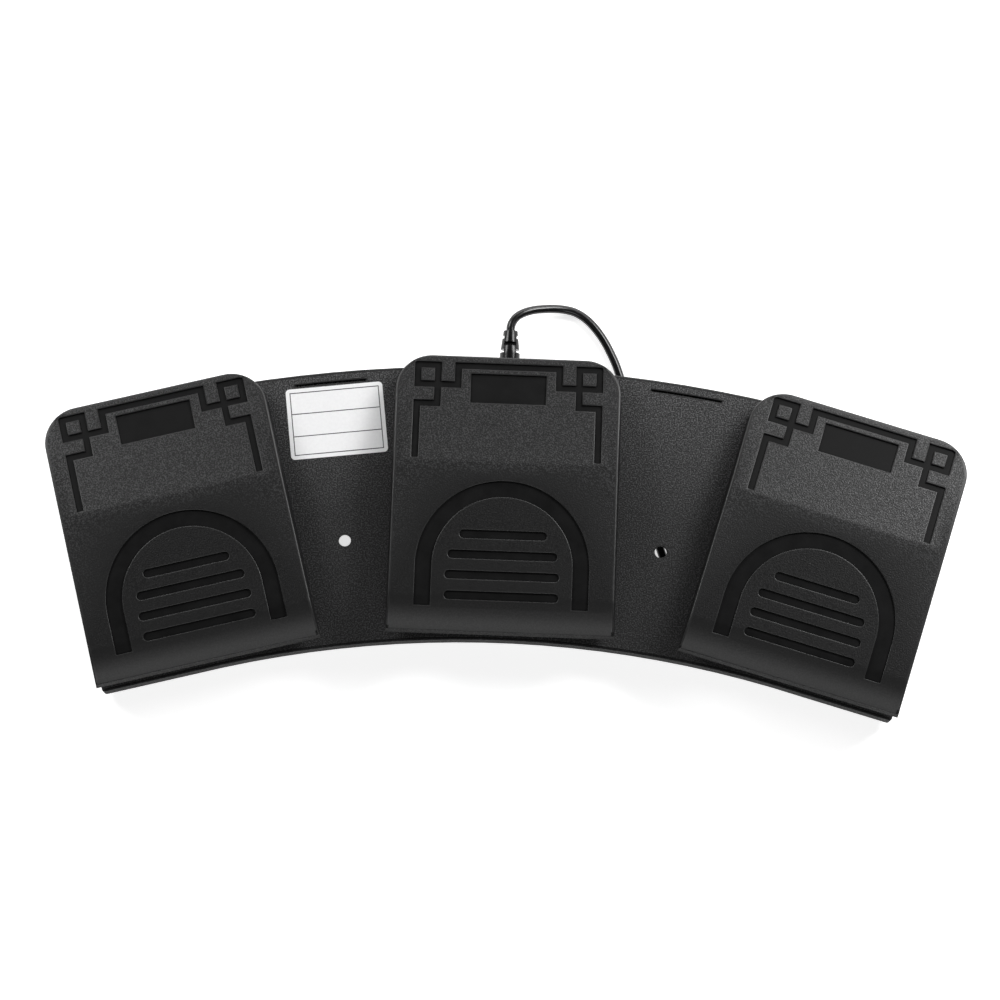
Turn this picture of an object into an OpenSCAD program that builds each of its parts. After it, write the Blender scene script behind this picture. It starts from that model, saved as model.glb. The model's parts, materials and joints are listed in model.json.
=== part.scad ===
// Triple foot pedal with a USB cord: three sprung pedals fanned on an arched base.
// Units are millimetres. Z is up, Y points to the cord side, and the feet stand on z = 0.

/* [Layout] */
// Angle between neighbouring pedals
fan_angle = 15; // [13:0.5:17]
// Radius from the fan's centre to the front edge of the pedals
pedal_front_r = 411.5; // [395:0.5:430]

/* [Base] */
// Height of the base moulding
base_h = 10.5; // [9.5:0.5:14]
// Thickness of the base's side walls
base_wall = 2.4; // [1.8:0.2:3]
// Thickness of the base's top wall
base_top_t = 2.6; // [2:0.2:3.4]
// How far the base stands out in front of the pedals
base_front_lip = 1; // [0.5:0.1:3]
// How far the pedals overhang the base at the rear
base_rear_inset = 2.5; // [1:0.5:4]
// How far the outer pedals overhang the ends of the base
base_end_inset = 1.35; // [0.5:0.05:3]
// Radius of the base's front corners
base_front_corner_r = 1; // [1:0.5:5]
// Radius of the base's rear corners
base_rear_corner_r = 13; // [8:0.5:16]
// Height of the ribs under the top wall
rib_h = 2.8; // [1.5:0.1:2.8]
// Thickness of the ribs
rib_t = 1.6; // [1:0.1:2.4]
// Diameter of the two mounting holes
mount_hole_d = 4.5; // [3.5:0.1:5.5]
// Distance of the mounting holes behind the pedals' front radius
mount_hole_v = 38; // [30:1:46]
// Length of each sunk line near the base's rear edge
rear_line_l = 26.6; // [16:0.2:34]
// Width of a sunk line near the rear edge
rear_line_w = 0.8; // [0.6:0.1:2]
// Depth of a sunk line near the rear edge
rear_line_depth = 1.6; // [0.6:0.1:1.8]
// Distance of the sunk lines from the rear edge
rear_line_inset = 3.9; // [3.4:0.1:6]

/* [Feet] */
// Height of the feet below the base
foot_h = 4; // [3.6:0.1:6]
// Diameter of a rubber foot
foot_d = 14; // [10:0.5:15]
// How deep a foot sits in its boss
foot_seat = 1; // [0.6:0.1:1.6]

/* [Pedal] */
// Width of a pedal at its rim
pedal_w = 84.5; // [78:0.5:92]
// Length of a pedal
pedal_l = 104; // [98:0.5:110]
// Wall thickness of a pedal
pedal_wall = 2.4; // [2:0.1:3]
// Draft of the pedal's sides, as width per height
pedal_draft = 0.06; // [0.02:0.01:0.08]
// Radius of the pedal's rear corners
pedal_corner_r = 14; // [9:0.5:18]
// Height of the pedal above its rim at the rear
rear_rise = 7.4; // [7.2:0.1:8]
// Height of the pedal above its rim at the ridge
ridge_rise = 12.9; // [12.4:0.1:14]
// Height of the pedal above its rim where the front lip begins
lip_rise = 10.9; // [10:0.1:12]
// Distance of the ridge from the front edge
ridge_v = 62; // [54:1:66]
// Length of the rounded front lip
lip_l = 13; // [8:0.5:16]
// Radius of the rounded front lip
lip_r = 30; // [20:1:60]
// Depth of the sunk ornament lines
groove_depth = 0.8; // [0.4:0.1:1.2]

/* [Ornament] */
// Line width and grid step of the corner fret
fret_step = 2.5; // [2.2:0.05:2.6]
// Half width of the fret
fret_half_w = 35; // [32:0.5:36]
// Distance of the fret from the pedal's rear edge
fret_inset = 3; // [2:0.5:4]
// Length of the fret's legs, in steps
fret_leg_steps = 15; // [9:1:18]
// Width of the sunk panel
panel_w = 28; // [20:0.5:32]
// Depth of the sunk panel along the pedal
panel_l = 11.4; // [8:0.2:13]
// Distance of the panel from the fret's top line
panel_gap = 1.7; // [1:0.1:3]
// Outer radius of the arch
arch_r = 32; // [26:0.5:34]
// Width of the arch band
arch_band = 6; // [4:0.2:8]
// Distance of the arch's straight ends from the front edge
arch_end_v = 8.6; // [7:0.2:12]
// Length of the arch's straight legs
arch_leg_l = 15; // [10:0.5:20]
// Number of grip slots inside the arch
grip_count = 4; // [2:1:4]
// Width of a grip slot
grip_w = 3.2; // [2:0.2:4]
// Distance between grip slots
grip_pitch = 7.6; // [5:0.2:8]
// Distance of the grip slots from the arch
grip_margin = 5; // [3:0.5:8]

/* [Hinge] */
// Distance of the hinge axis from the pedal's rear edge
hinge_inset = 11; // [10:0.5:13]
// Height of the hinge axis above the base
hinge_lift = 4.2; // [4.2:0.1:5]
// Height of the hinge axis above the pedal's rim
hinge_above_rim = 3.3; // [3:0.1:3.4]
// Diameter of the hinge pin
pin_d = 3; // [2:0.1:3.4]
// Running clearance of the pin in the pedal, on the radius
pin_run_gap = 0.05; // [0.02:0.01:0.09]
// Seat clearance of the pin in the base, on the radius
pin_seat_gap = 0.02; // [0.01:0.01:0.04]
// Angle of the pedal at rest, which is also its travel
rest_tilt = 3.5; // [2:0.25:4]

/* [Mechanism] */
// Diameter of the spring's wire
spring_wire = 0.9; // [0.6:0.1:1.2]
// Middle diameter of the spring
spring_d = 8; // [7.4:0.2:10]
// Turns of the spring
spring_turns = 6; // [4:1:8]
// Thickness of the circuit boards
board_t = 1.2; // [0.8:0.2:1.6]
// Width of a switch body
switch_w = 12.8; // [10:0.2:14]
// Depth of a switch body
switch_l = 5.8; // [5:0.2:7]
// Height of a switch body
switch_h = 6.5; // [5:0.1:6.6]
// Distance of the switch from the hinge axis
switch_reach = 19; // [18:0.5:21]
// Height of the rubber stop pads
pad_h = 4; // [3:0.5:5]
// Diameter of the rubber stop pads
pad_d = 8; // [6:0.5:10]

/* [Label] */
// Width of the blank label
label_w = 36.2; // [28:0.2:39]
// Depth of the blank label
label_l = 26.6; // [20:0.2:30]
// Thickness of the blank label
label_t = 0.15; // [0.1:0.05:0.4]
// Radius of the label's corners
label_r = 1.5; // [0.5:0.1:4]
// Distance of the label from the base's rear edge
label_inset = 5.2; // [4.8:0.1:10]

/* [Cord] */
// Diameter of the cord
cord_d = 3.2; // [2.8:0.1:3.4]
// Diameter of the strain relief at the base
relief_d = 7.5; // [6.6:0.1:8]
// Diameter of the strain relief at its tip
relief_tip_d = 5.3; // [4.6:0.1:6.4]
// Radius of the stowed coil's outer turn
coil_r = 34; // [32.5:0.1:34]
// Turns in each of the coil's two layers
coil_turns = 5; // [3:1:5]
// Distance between neighbouring turns and layers
coil_pitch = 3.7; // [3.7:0.05:3.8]

/* [Hidden] */

$fn = 64;
LEFT = -1;
CENTRE = 0;
RIGHT = 1;
eps = 0.01;
// How far cuts run past a face
cut = 1;
// Clearance between pieces that must not touch
gap = 0.3;
// Clearance of a piece that drops into a seat
seat_gap = 0.1;

// Levels
base_z = foot_h;
top_z = base_z + base_h;
ceiling_z = top_z - base_top_t;
hinge_z = top_z + hinge_lift;
hinge_v = pedal_l - hinge_inset;
rim_z = hinge_z - hinge_above_rim;

// Plan of the base, as radii from the fan's centre
base_front_r = pedal_front_r - base_front_lip;
base_rear_r = pedal_front_r + pedal_l - base_rear_inset;
base_end_u = pedal_w / 2 - base_end_inset;
plan_crease = 0.05;
// How far the straight ends of the plan run into its arc
seam_angle = 2;
seam_l = 5;
seam_u = 20;
// The origin lies midway between the lowest front corner and the rear of the centre pedal
front_corner_y = (base_front_r - plan_crease + base_front_corner_r) * cos(fan_angle)
    - (base_end_u - base_front_corner_r) * sin(fan_angle) - base_front_corner_r;
origin_r = (front_corner_y + pedal_front_r + pedal_l) / 2;

// Slopes of the pedal's top, as rise per length
rear_slope = (rear_rise - ridge_rise) / (pedal_l - ridge_v);
mid_slope = (ridge_rise - lip_rise) / (ridge_v - lip_l);
rear_norm = sqrt(1 + rear_slope * rear_slope);
mid_norm = sqrt(1 + mid_slope * mid_slope);
// Crease between the pedal's top and its front lip
lip_break = 4;
// Height of the blocks that the pedal is cut from
block_h = ridge_rise + 2;

// Distances of inner parts from the pedal's side edge
knuckle_side = 25.25;
pad_side = 15.25;
feet_side = 12.25;

// Hinge knuckles of the pedal and lugs of the base, as distances from the pedal's middle line
knuckle_u = pedal_w / 2 - knuckle_side;
knuckle_w = 8.7;
knuckle_r = pin_d / 2 + 1;
lug_u = knuckle_u + knuckle_w + gap;
lug_w = 6;
lug_r = knuckle_r;
pin_l = 2 * (lug_u + lug_w);

// Places in a pedal's own frame: u across, v back from its front edge
spring_post_d = spring_d - spring_wire - 2 * gap - 0.8;
spring_post_h = 3;
switch_v = hinge_v - switch_reach;
main_v = switch_v - 19.5;
spring_v = main_v - 16.5;
pad_u = pedal_w / 2 - pad_side;
pad_v = spring_v + 2;
post_d = 6;
hook_u = 14;
hook_v = 9;
hook_w = 5;
hook_t = 2.2;
barb = 1.8;
barb_h = 1.6;
hook_play = 0.8;
feet_u = pedal_w / 2 - feet_side;
feet_front_v = 12;
feet_rear_v = 88;
foot_boss_d = foot_d + 4;

// Place of the label, as a share of the fan angle
label_share = 0.492;

// Boards
pad_rise = 0.8;
board_z = top_z + pad_rise;
board_top_z = board_z + board_t;
switch_board_w = 20;
switch_board_l = 13;
main_board_w = 42;
main_board_l = 13;
screw_d = 2;
screw_head_d = 3.6;
screw_head_h = 1.3;
screw_reach = 3;
thread_gap = 0.05;
switch_screw_u = switch_board_w / 2 - 2;
switch_screw_v = 4.6;
main_screw_u = main_board_w / 2 - 2.5;
standoff_d = 4.4;
button_w = 2.6;
button_rise = 1.4;
button_hold = 1.2;
button_travel = switch_reach * rest_tilt * PI / 180;

// Leads
lead_d = 2.2;
lead_window = 5;
lead_u = main_board_w / 2 + 5;
lead_v = main_v;
lead_z = ceiling_z - lead_d / 2 - gap;
header_w = 6;
header_l = 5;
header_h = 4;
side_header_w = 2.8;
header_u = 12;
usb_header_u = 4;
chip_u = -4;
usb_window_u = 16.5;
usb_window_v = switch_v - 3;
lead_top_z = board_top_z + 2.7;

// Cord, with route points chosen by hand
relief_z = 9.2;
relief_inner_l = 1.5;
relief_sink = 0.4;
relief_neck_d = 5.8;
relief_tip_y = 76.8;
RUN = [[0, 76.8, 9.2], [0, 77.4, 9.2], [0, 78.4, 9.2], [0.5, 80.2, 9.1], [2, 82.4, 8.7],
    [4.6, 84.2, 7.9], [8, 85.6, 6.6], [12, 86.5, 5],
    [16, 87, 3.6], [20, 87, 2.5], [24, 86.2, 1.9], [28, 84, 1.7], [31.6, 80.6, 1.7], [35, 76.2, 1.7],
    [38, 71, 1.7], [40.6, 65.4, 1.7], [43, 58, 1.7], [46, 46, 1.7], [49, 33, 1.7], [52.4, 18, 1.7],
    [56.8, 4, 1.7], [59.5, -4, 1.7], [62.8, -12, 1.7], [66.4, -19.4, 1.7], [72.4, -26.6, 1.7], [80, -32, 1.7],
    [89, -35.2, 1.7], [98, -36, 1.9], [106, -36, 2.3], [111.6, -36, 2.5],
    [113.2, -36, 2.5]];
TAIL = [[113.2, 32, 6.2], [111.6, 32, 6.2], [108.4, 32, 5.8], [104.6, 32, 4.8], [101.4, 32, 4.2],
    [100.2, 32, 4.1], [98.6, 32, 4.1]];
coil_x = 118;
coil_y = -2;
coil_z = 2.5;
coil_top_z = coil_z + coil_pitch;
coil_steps = 24;
plug_x = 97;
plug_y = 32;
plug_z = 4.1;
plug_neck_l = 5;
plug_grip_l = 19;
plug_grip_w = 15;
plug_grip_h = 7.8;
plug_shell_l = 18.75;
plug_shell_w = 12;
plug_shell_h = 4.5;
plug_shell_t = 0.35;
plug_hole_u = 2.9;
plug_hole_v = 6.2;
tie_w = 6;
tie_t = 0.5;
tie_gap = 0.2;

// A point of a pedal at rest: v and height above the rim turn about the hinge
function rest_z(v, w) = hinge_z + (hinge_v - v) * sin(rest_tilt) + (rim_z + w - hinge_z) * cos(rest_tilt);

// Height above the rim of the pedal's top, sunk by a depth
function top_w(v, sink) = v > ridge_v
    ? ridge_rise + rear_slope * (v - ridge_v) - sink * rear_norm
    : ridge_rise + mid_slope * (v - ridge_v) - sink * mid_norm;

// Position in the part's frame of a point given in the frame of pedal k
function in_pedal(k, u, v, z) = [
    u * cos(k * fan_angle) + (pedal_front_r + v) * sin(k * fan_angle),
    (pedal_front_r + v) * cos(k * fan_angle) - u * sin(k * fan_angle) - origin_r,
    z];

// Position of a point at a radius and angle of the fan
function in_fan(r, angle, z) = [r * sin(angle), r * cos(angle) - origin_r, z];

// Unit vector
function unit(a) = a / norm(a);

// Directions along a path, one for each of its points
function path_dirs(p) = let (last = len(p) - 1) [
    for (i = [0 : last])
        i == 0 ? unit(p[1] - p[0]) : i == last ? unit(p[last] - p[last - 1]) : unit(p[i + 1] - p[i - 1])];

// First side vector of a path
function side_start(d) = unit(cross(d, abs(d[2]) > 0.9 ? [1, 0, 0] : [0, 0, 1]));

// Side vector carried on to the next direction
function side_next(s, d) = unit(s - (s * d) * d);

// Length of a path
function path_length(p) = len(p) < 2 ? 0 : [for (i = 1, sum = norm(p[1] - p[0]); i < len(p);
    i = i + 1, sum = i < len(p) ? sum + norm(p[i] - p[i - 1]) : sum) sum][len(p) - 2];

// Point of a smooth curve through four points
function smooth_point(a, b, c, d, t) = 0.5 * (2 * b + (c - a) * t
    + (2 * a - 5 * b + 4 * c - d) * t * t + (3 * b - a - 3 * c + d) * t * t * t);

// A route with extra points on the smooth curve through it
function smooth_route(p, steps) = let (last = len(p) - 1) concat(
    [for (i = [0 : last - 1], k = [0 : steps - 1])
        smooth_point(p[max(i - 1, 0)], p[i], p[i + 1], p[min(i + 2, last)], k / steps)],
    [p[last]]);

// Round tube along a path
module tube(path, d, sides) {
    dirs = path_dirs(path);
    ups = [for (i = 0, s = side_start(dirs[0]); i < len(path);
        i = i + 1, s = i < len(path) ? side_next(s, dirs[i]) : s) s];
    rings = [for (i = [0 : len(path) - 1], k = [0 : sides - 1])
        path[i] + d / 2 * (cos(360 * k / sides) * ups[i] + sin(360 * k / sides) * cross(dirs[i], ups[i]))];
    last = (len(path) - 1) * sides;
    walls = [for (i = [0 : len(path) - 2], k = [0 : sides - 1], half = [0, 1])
        let (a = i * sides + k, b = i * sides + (k + 1) % sides)
        half == 0 ? [a, a + sides, b] : [b, a + sides, b + sides]];
    caps = concat([for (k = [1 : sides - 2]) [0, k, k + 1]],
        [for (k = [1 : sides - 2]) [last, last + k + 1, last + k]]);
    polyhedron(points = rings, faces = concat(walls, caps), convexity = 10);
}

// Places children in the frame of pedal k, with z still measured from the floor
module at_pedal(k) {
    translate([0, -origin_r, 0])
        rotate(-k * fan_angle)
            translate([0, pedal_front_r, 0])
                children();
}

// Tilts children, drawn for a pressed pedal, to the pedal's rest
module at_rest() {
    translate([0, hinge_v, hinge_z])
        rotate([-rest_tilt, 0, 0])
            translate([0, -hinge_v, -hinge_z])
                children();
}

// Bar along the hinge axis from u, of a given length
module hinge_bar(u, l, r) {
    translate([u, hinge_v, hinge_z])
        rotate([0, 90, 0])
            cylinder(h = l, r = r);
}

// Flat outline with round corners, centred
module round_rect(w, l, r) {
    square([w - 2 * r, l], center = true);
    square([w, l - 2 * r], center = true);
    for (x = [-1, 1], y = [-1, 1])
        translate([x * (w / 2 - r), y * (l / 2 - r)])
            circle(r = r);
}

// Wedge of the fan's plane, out to a radius
module fan_wedge(angle, r) {
    reach = 1.1 * r / cos(angle);
    polygon([[0, 0], reach * [-sin(angle), cos(angle)], [0, 1.1 * reach],
        reach * [sin(angle), cos(angle)]]);
}

// Plan of the base drawn in by an inset: an arc that runs on straight under the outer pedals
module base_plan(inset) {
    front = base_front_r + inset;
    rear = base_rear_r - inset;
    // The straight edges lie a hair inside the arcs' tangents, and so cross the arcs cleanly
    front_edge = front - plan_crease;
    rear_edge = rear - plan_crease;
    end = base_end_u - inset;
    front_corner = max(base_front_corner_r - inset, 0.6);
    rear_corner = base_rear_corner_r - inset;
    difference() {
        union() {
            intersection() {
                circle(r = rear, $fn = 360);
                union() {
                    fan_wedge(fan_angle, rear);
                    difference() {
                        fan_wedge(fan_angle + seam_angle, rear);
                        circle(r = front + seam_l, $fn = 360);
                    }
                }
            }
            for (k = [LEFT, RIGHT])
                rotate(-k * fan_angle)
                    mirror([k == LEFT ? 1 : 0, 0]) {
                        translate([-seam_u, front_edge])
                            square([end - front_corner + seam_u, rear_edge - front_edge - rear_corner]);
                        translate([-seam_u, front_edge])
                            square([end - rear_corner + seam_u, rear_edge - front_edge]);
                        translate([0, front_edge + front_corner])
                            square([end, rear_edge - front_edge - rear_corner - front_corner]);
                        translate([end - front_corner, front_edge + front_corner])
                            circle(r = front_corner);
                        translate([end - rear_corner, rear_edge - rear_corner])
                            circle(r = rear_corner);
                    }
        }
        circle(r = front, $fn = 360);
    }
}

// Places of the feet, as pedal index, u and v
FEET = [for (k = [LEFT, RIGHT], v = [feet_front_v, feet_rear_v]) [k, k * feet_u, v],
    for (u = [-feet_u, feet_u], v = [feet_front_v, feet_rear_v]) [CENTRE, u, v]];

module at_feet() {
    for (f = FEET)
        at_pedal(f[0])
            translate([f[1], f[2], 0])
                children();
}

// Ribs beside the middle of each pedal, as shares of the fan angle
RIB_AT = [0.23, 0.77, 1.23];

// Stiffening ribs along the fan's radii, parted where the leads cross them
module base_ribs() {
    lead_r = pedal_front_r + lead_v;
    for (side = [-1, 1], share = RIB_AT, part = [0, 1]) {
        from = part == 0 ? base_front_r + base_wall / 2 : lead_r + lead_d;
        to = part == 0 ? lead_r - lead_d : base_rear_r - base_wall / 2;
        rotate(side * share * fan_angle)
            translate([-rib_t / 2, from, ceiling_z - rib_h])
                cube([rib_t, to - from, rib_h + eps]);
    }
}

// Hinge lugs of one pedal, standing on the base
module hinge_lugs() {
    for (u = [-lug_u - lug_w, lug_u]) {
        hinge_bar(u, lug_w, lug_r);
        translate([u, hinge_v - lug_r, top_z - eps])
            cube([lug_w, 2 * lug_r, hinge_lift + eps]);
    }
}

// Low pads under the boards of one pedal
module board_pads(k) {
    for (s = [-1, 1])
        translate([s * switch_screw_u, switch_v + switch_screw_v, top_z - eps])
            cylinder(h = pad_rise + eps, d = standoff_d);
    if (k == CENTRE)
        for (s = [-1, 1])
            translate([s * main_screw_u, main_v, top_z - eps])
                cylinder(h = pad_rise + eps, d = standoff_d);
}

// Holes that the screws of one pedal's boards bite into
module board_pilots(k, d) {
    for (s = [-1, 1])
        translate([s * switch_screw_u, switch_v + switch_screw_v, board_z - screw_reach])
            cylinder(h = screw_reach + board_t + eps, d = d);
    if (k == CENTRE)
        for (s = [-1, 1])
            translate([s * main_screw_u, main_v, board_z - screw_reach])
                cylinder(h = screw_reach + board_t + eps, d = d);
}

// Windows through the base's top wall under one pedal
module base_windows(k) {
    for (s = [-1, 1])
        translate([s * hook_u, hook_v, top_z - base_top_t / 2])
            cube([hook_w + 2 * hook_play, hook_t + 2 * hook_play, 2 * base_top_t], center = true);
    sides = k == CENTRE ? [-1, 1] : [-k];
    for (s = sides)
        translate([s * lead_u, lead_v, top_z - base_top_t / 2])
            cube([lead_window, lead_window, 2 * base_top_t], center = true);
    if (k == CENTRE)
        translate([usb_window_u, usb_window_v, top_z - base_top_t / 2])
            cube([lead_window, lead_window, 2 * base_top_t], center = true);
}

module base() {
    color("#2e2e2f")
    difference() {
        union() {
            translate([0, -origin_r, 0])
                difference() {
                    translate([0, 0, base_z])
                        linear_extrude(base_h)
                            base_plan(0);
                    translate([0, 0, base_z - 1])
                        linear_extrude(base_h - base_top_t + 1)
                            base_plan(base_wall);
                }
            intersection() {
                translate([0, -origin_r, 0])
                    union() {
                        base_ribs();
                        translate([0, origin_r, 0])
                            at_feet()
                                translate([0, 0, base_z])
                                    cylinder(h = base_h - eps, d = foot_boss_d);
                    }
                translate([0, -origin_r, base_z])
                    linear_extrude(base_h - eps)
                        base_plan(base_wall / 2);
            }
            for (k = [LEFT, CENTRE, RIGHT])
                at_pedal(k) {
                    hinge_lugs();
                    board_pads(k);
                    translate([0, spring_v, top_z - eps])
                        cylinder(h = spring_post_h, d = spring_post_d);
                }
        }
        for (k = [LEFT, CENTRE, RIGHT])
            at_pedal(k) {
                hinge_bar(-lug_u - lug_w - 1, pin_l + 2, pin_d / 2 + pin_seat_gap);
                base_windows(k);
                board_pilots(k, screw_d);
            }
        at_feet()
            translate([0, 0, base_z - 1])
                cylinder(h = foot_seat + 1, d = foot_d + 2 * seat_gap);
        for (s = [-1, 1]) {
            translate(in_fan(pedal_front_r + mount_hole_v, s * fan_angle / 2, ceiling_z - cut))
                cylinder(h = base_top_t + 2 * cut, d = mount_hole_d);
            translate([0, -origin_r, top_z - rear_line_depth])
                rear_line(s);
        }
        along_exit() {
            translate([0, 0, -base_wall - cut])
                cylinder(h = base_wall + 2 * cut, d = relief_neck_d + 2 * seat_gap);
            translate([0, 0, -base_wall - relief_inner_l - seat_gap])
                cylinder(h = relief_inner_l + relief_sink + seat_gap, d = relief_d + 2 * seat_gap);
        }
    }
}

// Curved line sunk into the base's top wall, in the middle between two pedals
module rear_line(s) {
    line_r = base_rear_r - rear_line_inset;
    spread = rear_line_l / line_r * 180 / PI;
    rotate(90 - s * fan_angle / 2 - spread / 2)
        rotate_extrude(angle = spread, $fn = 360)
            translate([line_r - rear_line_w / 2, 0])
                square([rear_line_w, rear_line_depth + cut]);
}

module rubber_feet() {
    chamfer = 1;
    color("#1a1a1a")
    at_feet()
        rotate_extrude()
            polygon([[0, 0], [foot_d / 2 - chamfer, 0], [foot_d / 2, chamfer],
                [foot_d / 2, base_z + foot_seat], [0, base_z + foot_seat]]);
}

module blank_label() {
    color("#d9dadb")
    translate([0, -origin_r, top_z])
        rotate(fan_angle * label_share)
            translate([0, base_rear_r - label_inset - label_l / 2, 0])
                linear_extrude(label_t)
                    round_rect(label_w, label_l, label_r);
}

// Side profile of the pedal, drawn in at the front and sunk at the top
module pedal_profile(inset, sink, low) {
    ridge_shift = sink == 0 ? 0 : sink * (rear_norm - mid_norm) / (rear_slope - mid_slope);
    lip_angle = atan(mid_slope) + lip_break;
    rear = pedal_l + 5;
    // The lip's arc crosses the top at a slight crease, and reaches above it a little further back
    behind = lip_l + lip_r * sin(lip_break);
    intersection() {
        polygon([[-5, low], [rear, low], [rear, top_w(rear, sink)],
            [ridge_v + ridge_shift, top_w(ridge_v, 0) + mid_slope * ridge_shift - sink * mid_norm],
            [-5, top_w(-5, sink)]]);
        translate([inset, low - cut])
            square([rear + cut, block_h + cut - low]);
        union() {
            translate([lip_l + lip_r * sin(lip_angle), lip_rise - lip_r * cos(lip_angle)])
                circle(r = lip_r - sink, $fn = 180);
            translate([behind, low - cut])
                square([2 * pedal_l, block_h + cut - low]);
        }
    }
}

// Block with the pedal's plan, drafted sides and top, drawn in by an inset and sunk by a depth
module pedal_block(inset, sink, low) {
    half = pedal_w / 2 - inset;
    rear = pedal_l - inset;
    mid_u = pedal_w / 2 - pedal_corner_r;
    mid_v = pedal_l - pedal_corner_r;
    corner = pedal_corner_r - inset;
    intersection() {
        translate([-pedal_w, 0, 0])
            rotate([90, 0, 90])
                linear_extrude(2 * pedal_w)
                    pedal_profile(inset, sink, low);
        union() {
            translate([0, mid_v, 0])
                rotate([90, 0, 0])
                    linear_extrude(mid_v + 1)
                        polygon([[-half + low * pedal_draft, low], [half - low * pedal_draft, low],
                            [half - block_h * pedal_draft, block_h],
                            [-half + block_h * pedal_draft, block_h]]);
            translate([-mid_u, 0, 0])
                rotate([90, 0, 90])
                    linear_extrude(2 * mid_u)
                        polygon([[mid_v - 1, low], [rear - low * pedal_draft, low],
                            [rear - block_h * pedal_draft, block_h], [mid_v - 1, block_h]]);
            for (s = [-1, 1])
                translate([s * mid_u, mid_v, low])
                    cylinder(h = block_h - low, r1 = corner - low * pedal_draft,
                        r2 = corner - block_h * pedal_draft);
        }
    }
}

// Half of the corner fret, drawn on a square grid from its outer rear corner
module fret_half() {
    s = fret_step;
    bar_start = 6;
    difference() {
        translate([0, -4 * s])
            square(4 * s);
        translate([s, -3 * s])
            square(2 * s);
    }
    translate([3 * s, -7 * s])
        square([s, 4 * s]);
    translate([0, -7 * s])
        square([4 * s, s]);
    translate([0, -fret_leg_steps * s])
        square([s, (fret_leg_steps - 6) * s]);
    translate([3 * s, -4 * s])
        square([(bar_start + 1 - 3) * s, s]);
    translate([bar_start * s, -4 * s])
        square([s, 4 * s]);
    translate([bar_start * s, -s])
        square([fret_half_w - bar_start * s + eps, s]);
}

// Filled arch with straight legs that begin at a distance from the front edge
module arch_plan(r, start_v) {
    arch_v = arch_end_v + arch_leg_l;
    translate([0, arch_v])
        intersection() {
            circle(r = r, $fn = 128);
            translate([-r, 0])
                square([2 * r, r]);
        }
    translate([-r, start_v])
        square([2 * r, arch_v - start_v]);
}

// Round-ended grip slots across the pedal, as wide as the arch leaves room for
module grip_plan() {
    clear_r = arch_r - arch_band - grip_margin;
    arch_v = arch_end_v + arch_leg_l;
    for (i = [0 : grip_count - 1]) {
        v = arch_end_v + grip_margin / 2 + grip_w / 2 + i * grip_pitch;
        high = max(v + grip_w / 2 - arch_v, 0);
        half = sqrt(max(clear_r * clear_r - high * high, 9)) - grip_w / 2;
        translate([-half, v - grip_w / 2])
            square([2 * half, grip_w]);
        for (u = [-half, half])
            translate([u, v])
                circle(d = grip_w, $fn = 32);
    }
}

// All sunk lines of the pedal's top
module ornament_plan() {
    fret_v = pedal_l - fret_inset;
    for (s = [0, 1])
        mirror([s, 0])
            translate([-fret_half_w, fret_v])
                fret_half();
    translate([-panel_w / 2, fret_v - fret_step - panel_gap - panel_l])
        square([panel_w, panel_l]);
    difference() {
        arch_plan(arch_r, arch_end_v);
        arch_plan(arch_r - arch_band, arch_end_v - 1);
    }
    grip_plan();
}

// Snap hook that holds the pedal down, below the base's top wall at rest
module pedal_hook() {
    // Heights in the pressed pedal, at which the hook has travelled down through its window
    drop = (hinge_v - hook_v) * sin(rest_tilt);
    catch_z = ceiling_z - gap - drop;
    translate([-hook_w / 2, hook_v - hook_t / 2, catch_z - barb_h])
        cube([hook_w, hook_t, block_h + rim_z - catch_z + barb_h]);
    translate([-hook_w / 2, hook_v + hook_t / 2, catch_z])
        rotate([90, 0, 90])
            linear_extrude(hook_w)
                polygon([[-eps, 0], [barb, 0], [barb * 0.3, -barb_h], [-eps, -barb_h]]);
}

// Everything inside the pedal, reaching up into its top wall
module pedal_inside() {
    for (s = [-1, 1]) {
        hinge_bar(s > 0 ? knuckle_u : -knuckle_u - knuckle_w, knuckle_w, knuckle_r);
        translate([s > 0 ? knuckle_u : -knuckle_u - knuckle_w, hinge_v - knuckle_r, hinge_z])
            cube([knuckle_w, 2 * knuckle_r, block_h]);
        translate([s * pad_u, pad_v, top_z + pad_h + gap])
            cylinder(h = block_h, d = post_d);
        translate([s * hook_u, 0, 0])
            pedal_hook();
    }
    translate([0, switch_v, board_top_z + switch_h + button_rise + gap - button_travel])
        cylinder(h = block_h, d = button_w * 2);
    translate([0, spring_v, rim_z + top_w(spring_v, pedal_wall) - spring_post_h + 1])
        cylinder(h = block_h, d = spring_post_d);
}

module pedal(k) {
    color("#2b2b2c")
    at_pedal(k)
        at_rest()
            difference() {
                union() {
                    translate([0, 0, rim_z])
                        difference() {
                            pedal_block(0, 0, 0);
                            pedal_block(pedal_wall, pedal_wall, -1);
                            difference() {
                                linear_extrude(block_h + 1)
                                    ornament_plan();
                                translate([-pedal_w, 0, 0])
                                    rotate([90, 0, 90])
                                        linear_extrude(2 * pedal_w)
                                            pedal_profile(0, groove_depth, -2);
                            }
                        }
                    intersection() {
                        pedal_inside();
                        translate([0, 0, rim_z])
                            pedal_block(pedal_wall / 2, pedal_wall / 2, -rim_z);
                    }
                }
                hinge_bar(-pedal_w / 2, pedal_w, pin_d / 2 + pin_run_gap);
            }
}

module left_pedal() { pedal(LEFT); }
module centre_pedal() { pedal(CENTRE); }
module right_pedal() { pedal(RIGHT); }

module hinge_pin(k) {
    color("#b9bcc0")
    at_pedal(k)
        hinge_bar(-pin_l / 2, pin_l, pin_d / 2);
}

module left_hinge_pin() { hinge_pin(LEFT); }
module centre_hinge_pin() { hinge_pin(CENTRE); }
module right_hinge_pin() { hinge_pin(RIGHT); }

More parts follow.
